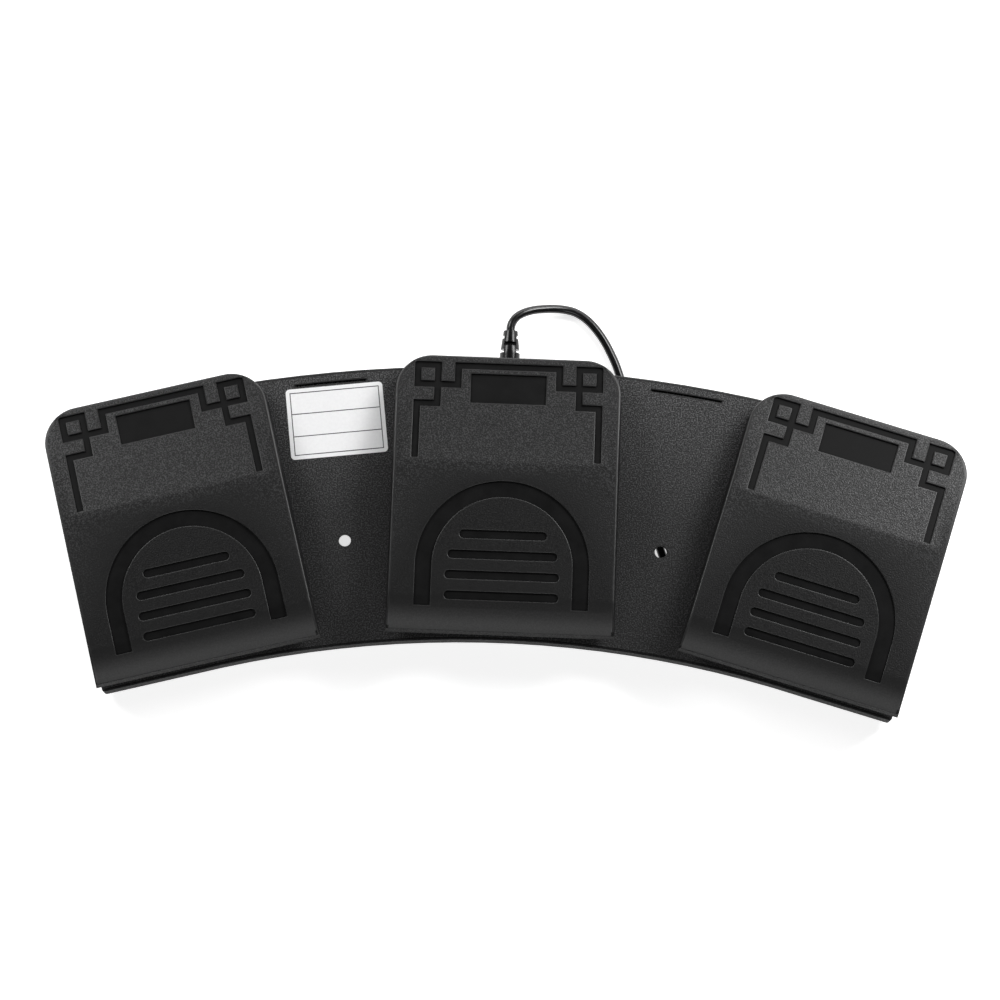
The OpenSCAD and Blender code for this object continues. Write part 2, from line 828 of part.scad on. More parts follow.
// Return spring standing on the base round its post
module spring(k) {
    low = top_z + gap + spring_wire / 2;
    far_v = spring_v + spring_d / 2;
    high = rest_z(far_v, top_w(far_v, pedal_wall)) - gap - spring_wire / 2;
    steps = 8;
    turn_points = [for (i = [0 : spring_turns * steps])
        let (a = 360 * i / steps)
        in_pedal(k, spring_d / 2 * cos(a), spring_v + spring_d / 2 * sin(a),
            low + (high - low) * i / (spring_turns * steps))];
    color("#c3c6ca")
    tube(turn_points, spring_wire, 6);
}

module left_spring() { spring(LEFT); }
module centre_spring() { spring(CENTRE); }
module right_spring() { spring(RIGHT); }

module switch_board(k) {
    color("#1f6b3a")
    difference() {
        at_pedal(k)
            translate([-switch_board_w / 2, switch_v - switch_l / 2 - 1, board_z])
                cube([switch_board_w, switch_board_l, board_t]);
        at_pedal(k)
            board_pilots(k, screw_d + 2 * seat_gap);
    }
}

module left_switch_board() { switch_board(LEFT); }
module centre_switch_board() { switch_board(CENTRE); }
module right_switch_board() { switch_board(RIGHT); }

module switch(k) {
    color("#3a3d42")
    at_pedal(k)
        difference() {
            translate([-switch_w / 2, switch_v - switch_l / 2, board_top_z])
                cube([switch_w, switch_l, switch_h]);
            translate([0, switch_v, board_top_z + switch_h - button_hold - button_travel - gap])
                linear_extrude(switch_h)
                    square(button_w + 2 * seat_gap, center = true);
            for (s = [-1, 1])
                translate([s * switch_w / 4, switch_v - switch_l, board_top_z + 1.6])
                    rotate([-90, 0, 0])
                        cylinder(h = 2 * switch_l, d = 1.6);
        }
}

module left_switch() { switch(LEFT); }
module centre_switch() { switch(CENTRE); }
module right_switch() { switch(RIGHT); }

module button(k) {
    color("#b5372f")
    at_pedal(k)
        translate([0, switch_v, board_top_z + switch_h - button_hold])
            linear_extrude(button_hold + button_rise)
                square(button_w, center = true);
}

module left_button() { button(LEFT); }
module centre_button() { button(CENTRE); }
module right_button() { button(RIGHT); }

module stop_pads() {
    color("#202020")
    for (k = [LEFT, CENTRE, RIGHT], s = [-1, 1])
        at_pedal(k)
            translate([s * pad_u, pad_v, top_z])
                cylinder(h = pad_h, d = pad_d);
}

module main_board() {
    color("#1f6b3a")
    difference() {
        at_pedal(CENTRE)
            translate([-main_board_w / 2, main_v - main_board_l / 2, board_z])
                cube([main_board_w, main_board_l, board_t]);
        at_pedal(CENTRE)
            board_pilots(CENTRE, screw_d + 2 * seat_gap);
    }
}

module control_chip() {
    chip_w = 5;
    chip_h = 1.4;
    chip_lift = 0.2;
    leg_l = 1;
    leg_h = 0.5;
    leg_w = 0.4;
    leg_pitch = 1;
    color("#26272a")
    at_pedal(CENTRE)
        translate([chip_u, main_v, board_top_z]) {
            translate([-chip_w / 2, -chip_w / 2, chip_lift])
                cube([chip_w, chip_w, chip_h]);
            for (i = [-1.5 : 1.5], turn = [0 : 90 : 270])
                rotate(turn)
                    translate([i * leg_pitch - leg_w / 2, chip_w / 2 - eps, 0])
                        cube([leg_w, leg_l, leg_h]);
        }
}

// Wire headers: three on the main board, and one on each outer switch board
module lead_headers() {
    color("#d8d4c4") {
        for (s = [-1, 1])
            at_pedal(CENTRE)
                translate([s * header_u - header_w / 2, lead_v - header_l / 2, board_top_z])
                    cube([header_w, header_l, header_h]);
        at_pedal(CENTRE)
            translate([usb_header_u - header_w / 2, main_v + main_board_l / 2 - header_l, board_top_z])
                cube([header_w, header_l, header_h]);
        for (k = [LEFT, RIGHT])
            at_pedal(k)
                translate([-k * (switch_board_w - side_header_w) / 2 - side_header_w / 2,
                    switch_v - switch_l / 2 - 1, board_top_z])
                    cube([side_header_w, header_l, header_h]);
    }
}

module board_screws() {
    color("#a9adb2")
    for (k = [LEFT, CENTRE, RIGHT])
        at_pedal(k) {
            board_pilots(k, screw_d - 2 * thread_gap);
            for (s = [-1, 1])
                translate([s * switch_screw_u, switch_v + switch_screw_v, board_top_z])
                    cylinder(h = screw_head_h, d = screw_head_d);
            if (k == CENTRE)
                for (s = [-1, 1])
                    translate([s * main_screw_u, main_v, board_top_z])
                        cylinder(h = screw_head_h, d = screw_head_d);
        }
}

// Path of the lead from the main board, under the base, to the switch board of pedal k
function lead_path(k) = let (
    bend = lead_d,
    edge = atan(lead_u / (pedal_front_r + lead_v)),
    lead_r = norm([lead_u, pedal_front_r + lead_v]),
    first = [[header_u + header_w / 2, lead_top_z], [lead_u - bend, lead_top_z],
        [lead_u - bend * 0.3, lead_top_z - bend * 0.3], [lead_u, lead_top_z - bend],
        [lead_u, lead_z + bend], [lead_u + bend * 0.3, lead_z + bend * 0.3],
        [lead_u + bend, lead_z]],
    end_v = switch_v - switch_l / 2 - 1 + header_l / 2,
    last = [[lead_u + bend, lead_v, lead_z], [lead_u + bend * 0.3, lead_v, lead_z + bend * 0.3],
        [lead_u, lead_v, lead_z + bend], [lead_u, lead_v, lead_top_z - bend],
        [lead_u - bend * 0.3, lead_v + bend * 0.4, lead_top_z - bend * 0.3],
        [lead_u - bend, lead_v + bend, lead_top_z],
        [switch_board_w / 2 + bend * 3, end_v - bend * 2, lead_top_z],
        [switch_board_w / 2 + bend * 1.5, end_v, lead_top_z], [switch_board_w / 2, end_v, lead_top_z]])
    concat([for (p = first) in_pedal(CENTRE, k * p[0], lead_v, p[1])],
        [for (f = [0.12 : 0.095 : 0.89])
            in_fan(lead_r, k * (edge + (fan_angle - 2 * edge) * f), lead_z)],
        [for (p = last) in_pedal(k, -k * p[0], p[1], p[2])]);

module left_lead() {
    color("#3c3f46")
    tube(lead_path(LEFT), lead_d, 8);
}

module right_lead() {
    color("#3c3f46")
    tube(lead_path(RIGHT), lead_d, 8);
}

// Cord from the strain relief, up through its window, to its header on the main board
module inner_cord() {
    start_v = base_rear_r - pedal_front_r - base_wall - relief_inner_l;
    end_v = main_v + main_board_l / 2;
    bend = cord_d;
    path = [[0, start_v, relief_z], [0, start_v - bend, relief_z],
        [usb_window_u * 0.35, usb_window_v + bend * 4, relief_z],
        [usb_window_u * 0.8, usb_window_v + bend, relief_z],
        [usb_window_u - 0.4, usb_window_v + 0.4, relief_z + bend * 0.5],
        [usb_window_u, usb_window_v, relief_z + bend * 1.4],
        [usb_window_u, usb_window_v, lead_top_z - bend * 0.5],
        [usb_window_u - bend * 0.4, usb_window_v - bend * 0.2, lead_top_z + bend * 0.3],
        [usb_window_u - bend * 1.4, usb_window_v - bend * 0.7, lead_top_z + bend * 0.4],
        [usb_header_u + bend, end_v + bend * 1.9, lead_top_z],
        [usb_header_u, end_v + bend * 0.9, lead_top_z], [usb_header_u, end_v, lead_top_z]];
    color("#161616")
    tube([for (p = path) in_pedal(CENTRE, p[0], p[1], p[2])], cord_d, 8);
}

// Places children with z along the cord's way out of the base
module along_exit() {
    translate([0, base_rear_r - origin_r, relief_z])
        rotate([-90, 0, 0])
            children();
}

module strain_relief() {
    outer_l = relief_tip_y - (base_rear_r - origin_r);
    flange_z = -base_wall - relief_inner_l;
    wall_z = relief_sink - base_wall - seat_gap;
    core_d = cord_d + 1.4;
    slot = 1.3;
    slot_pitch = 2.7;
    first_slot = 2.4;
    color("#151515")
    difference() {
        along_exit()
            rotate_extrude()
                polygon([[0, flange_z], [relief_d / 2, flange_z],
                    [relief_d / 2, wall_z], [relief_neck_d / 2, wall_z],
                    [relief_neck_d / 2, seat_gap], [relief_d / 2, seat_gap],
                    [relief_d / 2, outer_l * 0.4], [relief_tip_d / 2, outer_l], [0, outer_l]]);
        along_exit()
            difference() {
                for (i = [0, 1, 2])
                    translate([0, 0, outer_l - first_slot - slot_pitch * i])
                        rotate(90 * i)
                            for (s = [-1, 1])
                                translate([s * (core_d + relief_d) / 2, 0, 0])
                                    cube([relief_d, 2 * relief_d, slot], center = true);
                cylinder(h = outer_l, d = core_d);
            }
    }
}

// The coil spirals in on the floor, climbs in the half turn where it reverses, and spirals out on top
function coil_radius(t) = let (middle = coil_turns + 0.25)
    coil_r - coil_pitch * middle + coil_pitch * abs(t - middle);
function coil_climb(t) = let (f = min(max((t - coil_turns) * 2, 0), 1)) f * f * (3 - 2 * f);
COIL_START = [coil_x - cord_d, coil_y - coil_r, coil_z];
COIL_END = [coil_x - cord_d, coil_y + coil_r, coil_top_z];
COIL = concat([COIL_START], [for (i = [0 : (2 * coil_turns + 0.5) * coil_steps])
    let (t = i / coil_steps, a = -90 + 360 * t, r = coil_radius(t))
    [coil_x + r * cos(a), coil_y + r * sin(a), coil_z + coil_pitch * coil_climb(t)]], [COIL_END]);
RUN_PATH = concat(RUN, [COIL_START]);
TAIL_PATH = concat([COIL_END], TAIL, [[plug_x, plug_y, plug_z]]);
// Least distance between points half a turn or more apart along the coil, less the cord
coil_self_gap = min([for (i = [0 : len(COIL) - 1]) for (j = [i + coil_steps / 2 : 1 : len(COIL) - 1])
    norm(COIL[i] - COIL[j])]) - cord_d;
echo(coil_self_gap = coil_self_gap);
echo(cord_length = path_length(RUN_PATH) + path_length(COIL) + path_length(TAIL_PATH));

module cord_run() {
    color("#161616")
    tube(smooth_route(RUN_PATH, 2), cord_d, 8);
}

module cord_coil() {
    color("#161616")
    tube(COIL, cord_d, 6);
}

module cord_tail() {
    color("#161616")
    tube(TAIL_PATH, cord_d, 8);
}

module cord_tie() {
    inner = coil_r - coil_pitch * (coil_turns + 0.25) - cord_d / 2 - tie_gap;
    outer = coil_r + cord_d / 2 + tie_gap;
    low = coil_z - cord_d / 2 - tie_gap;
    high = coil_top_z + cord_d / 2 + tie_gap;
    color("#101010")
    translate([coil_x, coil_y - tie_w / 2, 0])
        difference() {
            translate([-outer - tie_t, 0, low - tie_t])
                cube([outer - inner + 2 * tie_t, tie_w, high - low + 2 * tie_t]);
            translate([-outer, -1, low])
                cube([outer - inner, tie_w + 2, high - low]);
        }
}

// Places children with z along the plug, pointing away from the cord
module along_plug() {
    translate([plug_x, plug_y, plug_z])
        rotate([0, -90, 0])
            rotate(90)
                children();
}

module plug_grip() {
    color("#171717")
    along_plug() {
        cylinder(h = plug_neck_l + eps, d1 = cord_d + 1.6, d2 = cord_d + 3.4);
        translate([0, 0, plug_neck_l])
            linear_extrude(plug_grip_l)
                round_rect(plug_grip_w, plug_grip_h, 2.2);
    }
}

module plug_shell() {
    inner_w = plug_shell_w - 2 * plug_shell_t;
    inner_h = plug_shell_h - 2 * plug_shell_t;
    color("#c9ccd0")
    along_plug()
        translate([0, 0, plug_neck_l + plug_grip_l])
            difference() {
                translate([-plug_shell_w / 2, -plug_shell_h / 2, 0])
                    cube([plug_shell_w, plug_shell_h, plug_shell_l]);
                translate([-inner_w / 2, -inner_h / 2, -cut])
                    cube([inner_w, inner_h, plug_shell_l + 2 * cut]);
                for (s = [-1, 1])
                    translate([s * plug_hole_u, 0, plug_shell_l - plug_hole_v])
                        cube([2.4, 2 * plug_shell_h, 2.2], center = true);
            }
}

module plug_tongue() {
    tongue_h = 1.9;
    color("#e8e6e0")
    along_plug()
        translate([-plug_shell_w / 2 + plug_shell_t + seat_gap, -plug_shell_h / 2 + plug_shell_t + seat_gap,
            plug_neck_l + plug_grip_l])
            cube([plug_shell_w - 2 * plug_shell_t - 2 * seat_gap, tongue_h, plug_shell_l - 0.6]);
}

base();
rubber_feet();
blank_label();
left_pedal();
centre_pedal();
right_pedal();
left_hinge_pin();
centre_hinge_pin();
right_hinge_pin();
left_spring();
centre_spring();
right_spring();
left_switch_board();
centre_switch_board();
right_switch_board();
left_switch();
centre_switch();
right_switch();
left_button();
centre_button();
right_button();
stop_pads();
main_board();
control_chip();
lead_headers();
board_screws();
left_lead();
right_lead();
inner_cord();
strain_relief();
cord_run();
cord_coil();
cord_tail();
cord_tie();
plug_grip();
plug_shell();
plug_tongue();
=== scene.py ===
"""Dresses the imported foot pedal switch: rounded mouldings, finishes, cord, hardware and stage."""

import json
import math

import bmesh
import bpy
import numpy as np
from mathutils import Matrix, Vector


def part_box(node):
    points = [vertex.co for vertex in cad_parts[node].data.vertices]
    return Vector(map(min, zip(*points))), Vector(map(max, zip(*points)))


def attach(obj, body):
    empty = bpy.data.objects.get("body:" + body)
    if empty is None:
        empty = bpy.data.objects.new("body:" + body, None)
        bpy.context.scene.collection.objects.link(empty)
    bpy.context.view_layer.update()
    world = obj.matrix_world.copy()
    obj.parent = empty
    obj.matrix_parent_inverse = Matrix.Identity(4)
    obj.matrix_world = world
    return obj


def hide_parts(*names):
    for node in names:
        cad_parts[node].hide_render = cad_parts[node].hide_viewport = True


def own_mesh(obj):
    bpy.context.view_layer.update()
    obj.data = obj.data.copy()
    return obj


bl_info = {
    "name": "Foot Pedal Switch",
    "version": (1, 0, 0),
    "blender": (4, 5, 0),
    "location": "View3D > Sidebar > Foot Pedal",
    "description": "Finishes, cord and stage for a triple foot pedal switch",
    "category": "Object",
}

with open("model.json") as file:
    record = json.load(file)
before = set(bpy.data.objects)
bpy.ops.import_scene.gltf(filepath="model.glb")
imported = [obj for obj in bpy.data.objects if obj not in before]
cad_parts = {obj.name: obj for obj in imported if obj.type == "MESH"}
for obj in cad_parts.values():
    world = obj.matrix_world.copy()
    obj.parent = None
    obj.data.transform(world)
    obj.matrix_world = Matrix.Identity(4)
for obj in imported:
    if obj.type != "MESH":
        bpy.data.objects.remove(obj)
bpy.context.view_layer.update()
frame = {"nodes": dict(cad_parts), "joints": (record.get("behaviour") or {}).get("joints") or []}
NODES = frame["nodes"]
MM = 0.001
SIDES = ("left", "centre", "right")
PRESS = {j["name"][: -len("_press")]: j for j in frame["joints"] if j["name"].endswith("_press")}

# Sizes below are in millimetres where nothing else is said

# A pedal in its own frame: v runs back from its front edge, w up from its rim
HINGE_V, HINGE_W = 93.0, 3.3
RIDGE_V, RIDGE_W = 62.0, 12.9
REAR_V, REAR_W = 104.0, 7.4
LIP_V, LIP_W, LIP_RADIUS = 13.0, 10.9, 30.0
LIP_CREASE = math.radians(4.0)
HALF_WIDTH, CORNER_RADIUS = 42.25, 14.0
GROOVE_DEPTH = 0.8
# Lengths over which the smoother lip sets in, and the plain top in front of the ridge, where the
# rear slopes' painted light ends
LIP_FADE, RIDGE_FADE = 6.0, 1.0
# How near an edge is to the top and to the outline to count as on it, and the front strip's depth
ON_TOP, ON_RIM, FRONT_STRIP = 0.2, 2.2, 1.0
# Radius of the fan at the pedals' front edges, and the angle between two pedals
FRONT_RADIUS = 411.5
FAN_ANGLE = math.radians(15.0)

# Heights of the base's lower edge and of its top, and the depth of its dull front strip
BASE_FOOT, BASE_TOP, BASE_STRIP = 4.0, 14.5, 1.5
# Distances from the fan's centre over which the base's painted light, a grey lightening towards its
# rear edge, sets in, in metres
PAINTED_LIGHT_REACH = (0.46, 0.512)

# The label's turn on the fan, the inset, width and thickness of its ruled lines,
# and the shares of its depth before the first cross rule and between the two
LABEL_TURN = math.radians(7.38)
RULE_INSET, RULE_WIDTH, RULE_THICK = 1.6, 0.32, 0.04
RULE_START, RULE_STEP = 0.3, 0.36

# Springs: place on the pedal, wire and coil radius, turns
SPRING_V, SPRING_WIRE, SPRING_RADIUS, SPRING_TURNS = 38.0, 0.45, 4.0, 6.0
# Board screws: head, shank, and the places of those on a switch board and on the main board
HEAD_RADIUS, HEAD_HEIGHT, SHANK_RADIUS, SHANK_LENGTH = 1.8, 1.3, 0.95, 3.6
SWITCH_SCREW_U, SWITCH_SCREW_V = 8.0, 78.6
MAIN_SCREW_U, MAIN_SCREW_V = 18.5, 54.5

# Leads: radius and bend, the window that each passes down through, its two heights,
# where it starts and ends, and the shares of its arc between two windows
LEAD_RADIUS, LEAD_BEND = 1.1, 2.2
WINDOW_U, WINDOW_V = 26.0, 54.5
LEAD_LOW, LEAD_HIGH = 10.5, 19.2
LEAD_START_U, LEAD_END_U, LEAD_END_V = 15.0, 10.0, 72.6
LEAD_SHARES = np.arange(0.12, 0.9, 0.095)

# The cord's route over the floor, as in the part's source
RUN = [
    (0, 76.8, 9.2), (0, 77.4, 9.2), (0, 78.4, 9.2), (0.5, 80.2, 9.1), (2, 82.4, 8.7),
    (4.6, 84.2, 7.9), (8, 85.6, 6.6), (12, 86.5, 5), (16, 87, 3.6), (20, 87, 2.5),
    (24, 86.2, 1.9), (28, 84, 1.7), (31.6, 80.6, 1.7), (35, 76.2, 1.7), (38, 71, 1.7),
    (40.6, 65.4, 1.7), (43, 58, 1.7), (46, 46, 1.7), (49, 33, 1.7), (52.4, 18, 1.7),
    (56.8, 4, 1.7), (59.5, -4, 1.7), (62.8, -12, 1.7), (66.4, -19.4, 1.7), (72.4, -26.6, 1.7),
    (80, -32, 1.7), (89, -35.2, 1.7), (98, -36, 1.9), (106, -36, 2.3), (111.6, -36, 2.5),
    (113.2, -36, 2.5),
]
TAIL = [
    (113.2, 32, 6.2), (111.6, 32, 6.2), (108.4, 32, 5.8), (104.6, 32, 4.8), (101.4, 32, 4.2),
    (100.2, 32, 4.1), (98.6, 32, 4.1), (97, 32, 4.1),
]
# The cord's route inside the base, in the centre pedal's frame
INNER_ROUTE = [
    (0, 97.6, 9.2), (0, 94.4, 9.2), (5.775, 83.8, 9.2), (13.2, 74.2, 9.2), (16.1, 71.4, 10.8),
    (16.5, 71, 13.68), (16.5, 71, 17.6), (15.22, 70.36, 20.16), (12.02, 68.76, 20.48),
    (7.2, 67.08, 19.2), (4, 63.88, 19.2), (4, 61, 19.2),
]
COIL_CENTRE = (118.0, -2.0)
COIL_RADIUS, COIL_PITCH, COIL_TURNS, COIL_LOW = 34.0, 3.7, 5, 2.5
CORD_WIDTH = 3.2
# Points from one point of a route to the next, and on each turn of the coil
RUN_STEPS, ROUTE_STEPS, TURN_STEPS = 5, 4, 48
# The plug's contact strips: size, pitch, inset from the tongue's end and rise over it
CONTACT, CONTACT_COUNT = (7.6, 1.2, 0.12), 4
CONTACT_PITCH, CONTACT_INSET, CONTACT_RISE = 2.3, 0.6, 0.04

# Stage, in metres and watts: a wide floor with a low wall far round it, the distances over
# which its glow rises to white, the share of light that it throws back, and the sky's light
COVE_RADIUS, COVE_HEIGHT, COVE_SIDES = 12.0, 3.0, 64
GLOW_RANGE, FLOOR_SHARE, SKY_LIGHT = (0.5, 3.0), 0.35, 0.04
# Each lamp's name, place, size and power
LAMPS = (
    ("right_softbox", (0.53, 0.44, 0.54), (0.4, 0.3), 5.4),
    ("left_softbox", (-0.62, 0.46, 0.6), (0.4, 0.3), 3.5),
    ("rear_softbox", (0.0, 0.95, 0.4), (1.2, 0.16), 4.2),
    ("front_softbox", (0.0, -0.75, 0.8), (0.8, 0.35), 3.2),
)
CAMERA_TARGET = (0.0, 0.0125, 0.0)
CAMERA_SENSOR, CAMERA_LENS, CAMERA_SHIFT = 36.0, 153.6, (-0.0043, 0.0044)

# Points closer than WELD are one, in metres. Faces flatter than LEVEL_ANGLE are one, edges
# over SHARP_ANGLE are rounded, and edges over SHADE_ANGLE are shaded sharp
WELD = 2e-6
LEVEL_ANGLE, SHARP_ANGLE, SHADE_ANGLE = (math.radians(a) for a in (0.4, 28.0, 35.0))

COLOUR = {"subtype": "COLOR", "size": 3, "min": 0, "max": 1}
LENGTH = {"unit": "LENGTH", "precision": 5}


class MouldingSettings(bpy.types.PropertyGroup):
    """Sizes and colours of the moulded plastic."""

    colour: bpy.props.FloatVectorProperty(
        name="Plastic", description="Colour of the textured black plastic",
        default=(0.005, 0.005, 0.0051), **COLOUR)
    sunk_colour: bpy.props.FloatVectorProperty(
        name="Sunk lines", description="Colour of the smooth floors of the sunk lines",
        default=(0.0052, 0.0052, 0.0053), **COLOUR)
    grain: bpy.props.FloatProperty(
        name="Grain", description="Size of the spark-eroded grain",
        default=0.0005, min=0.0001, max=0.002, **LENGTH)
    edge_round: bpy.props.FloatProperty(
        name="Edge rounding", description="Rounding of the mouldings' outer edges",
        default=0.001, min=0.0001, max=0.0015, **LENGTH)
    front_round: bpy.props.FloatProperty(
        name="Front rounding", description="Rounding of the pedals' front edges",
        default=0.0003, min=0.0001, max=0.001, **LENGTH)
    line_round: bpy.props.FloatProperty(
        name="Line rounding", description="Rounding of the sunk lines' edges",
        default=0.0004, min=0.00005, max=0.0006, **LENGTH)


class CordSettings(bpy.types.PropertyGroup):
    """Sizes and colours of the cord."""

    jacket: bpy.props.FloatVectorProperty(
        name="Jacket", description="Colour of the cord's jacket",
        default=(0.007, 0.007, 0.0073), **COLOUR)
    sides: bpy.props.IntProperty(
        name="Sides", description="Sides of the cord's round section", default=14, min=8, max=32)


class StageSettings(bpy.types.PropertyGroup):
    """Camera and light."""

    floor: bpy.props.FloatVectorProperty(
        name="Floor", description="Colour of the floor", default=(0.9, 0.9, 0.9), **COLOUR)
    glow: bpy.props.FloatProperty(
        name="Floor glow", description="Light that the floor itself shows to the camera",
        default=0.7, min=0, max=2)
    elevation: bpy.props.FloatProperty(
        name="Elevation", description="Height of the camera above the horizon",
        default=math.radians(82.0), min=0.0, max=math.radians(90.0), subtype="ANGLE")
    distance: bpy.props.FloatProperty(
        name="Distance", description="Distance of the camera from its target",
        default=1.6, min=0.3, max=5.0, unit="LENGTH")
    roll: bpy.props.FloatProperty(
        name="Roll", description="Turn of the camera about its own axis",
        default=math.radians(2.11), min=-1.0, max=1.0, subtype="ANGLE")


# Places and pieces

def pedal_axes(side):
    """Hinge point, sideways axis and backward axis of a pedal, in metres."""
    joint = PRESS[side]
    across = Vector(joint["axis"])
    return Vector(joint["pos_m"]), across, Vector((-across.y, across.x, 0.0))


def in_pedal(side, u, v, z):
    """A point given in a pedal's frame, in millimetres, as a point of the part in metres."""
    hinge, across, back = pedal_axes(side)
    p = hinge + across * (u * MM) + back * ((v - HINGE_V) * MM)
    return Vector((p.x, p.y, z * MM))


def fan_centre(z):
    """The point that all three pedals turn about in plan, at a height."""
    return in_pedal("centre", 0, -FRONT_RADIUS, z)


def top_height(v):
    """Height of a pedal's top above its rim, in millimetres."""
    rear = (REAR_W - RIDGE_W) / (REAR_V - RIDGE_V)
    front = (RIDGE_W - LIP_W) / (RIDGE_V - LIP_V)
    start = math.atan(front) + LIP_CREASE
    from_centre = LIP_V + LIP_RADIUS * math.sin(start) - v
    arc = np.sqrt(np.maximum(LIP_RADIUS ** 2 - from_centre ** 2, 0.0))
    slope = np.where(v > RIDGE_V, rear, front)
    lip = LIP_W - (LIP_RADIUS * math.cos(start) - arc)
    return np.where(v < LIP_V, lip, RIDGE_W + slope * (v - RIDGE_V))


def new_object(name, mesh):
    """Links a mesh as a piece at the origin."""
    obj = bpy.data.objects.new(name, mesh)
    bpy.context.scene.collection.objects.link(obj)
    return obj


def settle(obj):
    """Turns an object's modifiers into its plain mesh."""
    graph = bpy.context.evaluated_depsgraph_get()
    mesh = bpy.data.meshes.new_from_object(
        obj.evaluated_get(graph), preserve_all_data_layers=True, depsgraph=graph)
    name = obj.name
    if obj.type == "MESH":
        obj.modifiers.clear()
        obj.data = mesh
    else:
        bpy.data.objects.remove(obj)
        obj = new_object(name, mesh)
    mesh.name = name
    return obj


def finish_piece(obj, body, slot, *nodes):
    """Rides a piece on its body and hides the CAD nodes that it stands for; the slot is not used.
    """
    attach(obj, body)
    if nodes:
        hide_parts(*nodes)
    return obj


def welded(node):
    """A welded copy of a CAD node's mesh, open for editing."""
    bm = bmesh.new()
    bm.from_mesh(NODES[node].data)
    bmesh.ops.remove_doubles(bm, verts=bm.verts, dist=WELD)
    return bm


def smoothed(obj):
    """Shades a piece smooth between its sharp edges."""
    obj.data.shade_smooth()
    obj.data.set_sharp_from_angle(angle=SHADE_ANGLE)
    normals = obj.modifiers.new("Even shading", "WEIGHTED_NORMAL")
    normals.keep_sharp = True
    normals.weight = 90
    return settle(obj)


def rounded_piece(node, name, width, finish_name, body, slot):
    """Stands a rounded copy of a small CAD node for that node."""
    bm = welded(node)
    bmesh.ops.dissolve_limit(bm, angle_limit=LEVEL_ANGLE, verts=bm.verts, edges=bm.edges)
    obj = new_object(name, bpy.data.meshes.new(name))
    bm.to_mesh(obj.data)
    bm.free()
    obj.data.materials.append(finish(finish_name))
    bevel = obj.modifiers.new("Rounded edges", "BEVEL")
    bevel.width = width * MM
    bevel.segments = 3
    bevel.limit_method = "ANGLE"
    bevel.angle_limit = SHARP_ANGLE
    return finish_piece(smoothed(settle(obj)), body, slot, node)


# Mouldings with rounded edges, and the places of their finishes in the list of materials

FLAT, ROUNDED, WALL, SUNK = range(4)


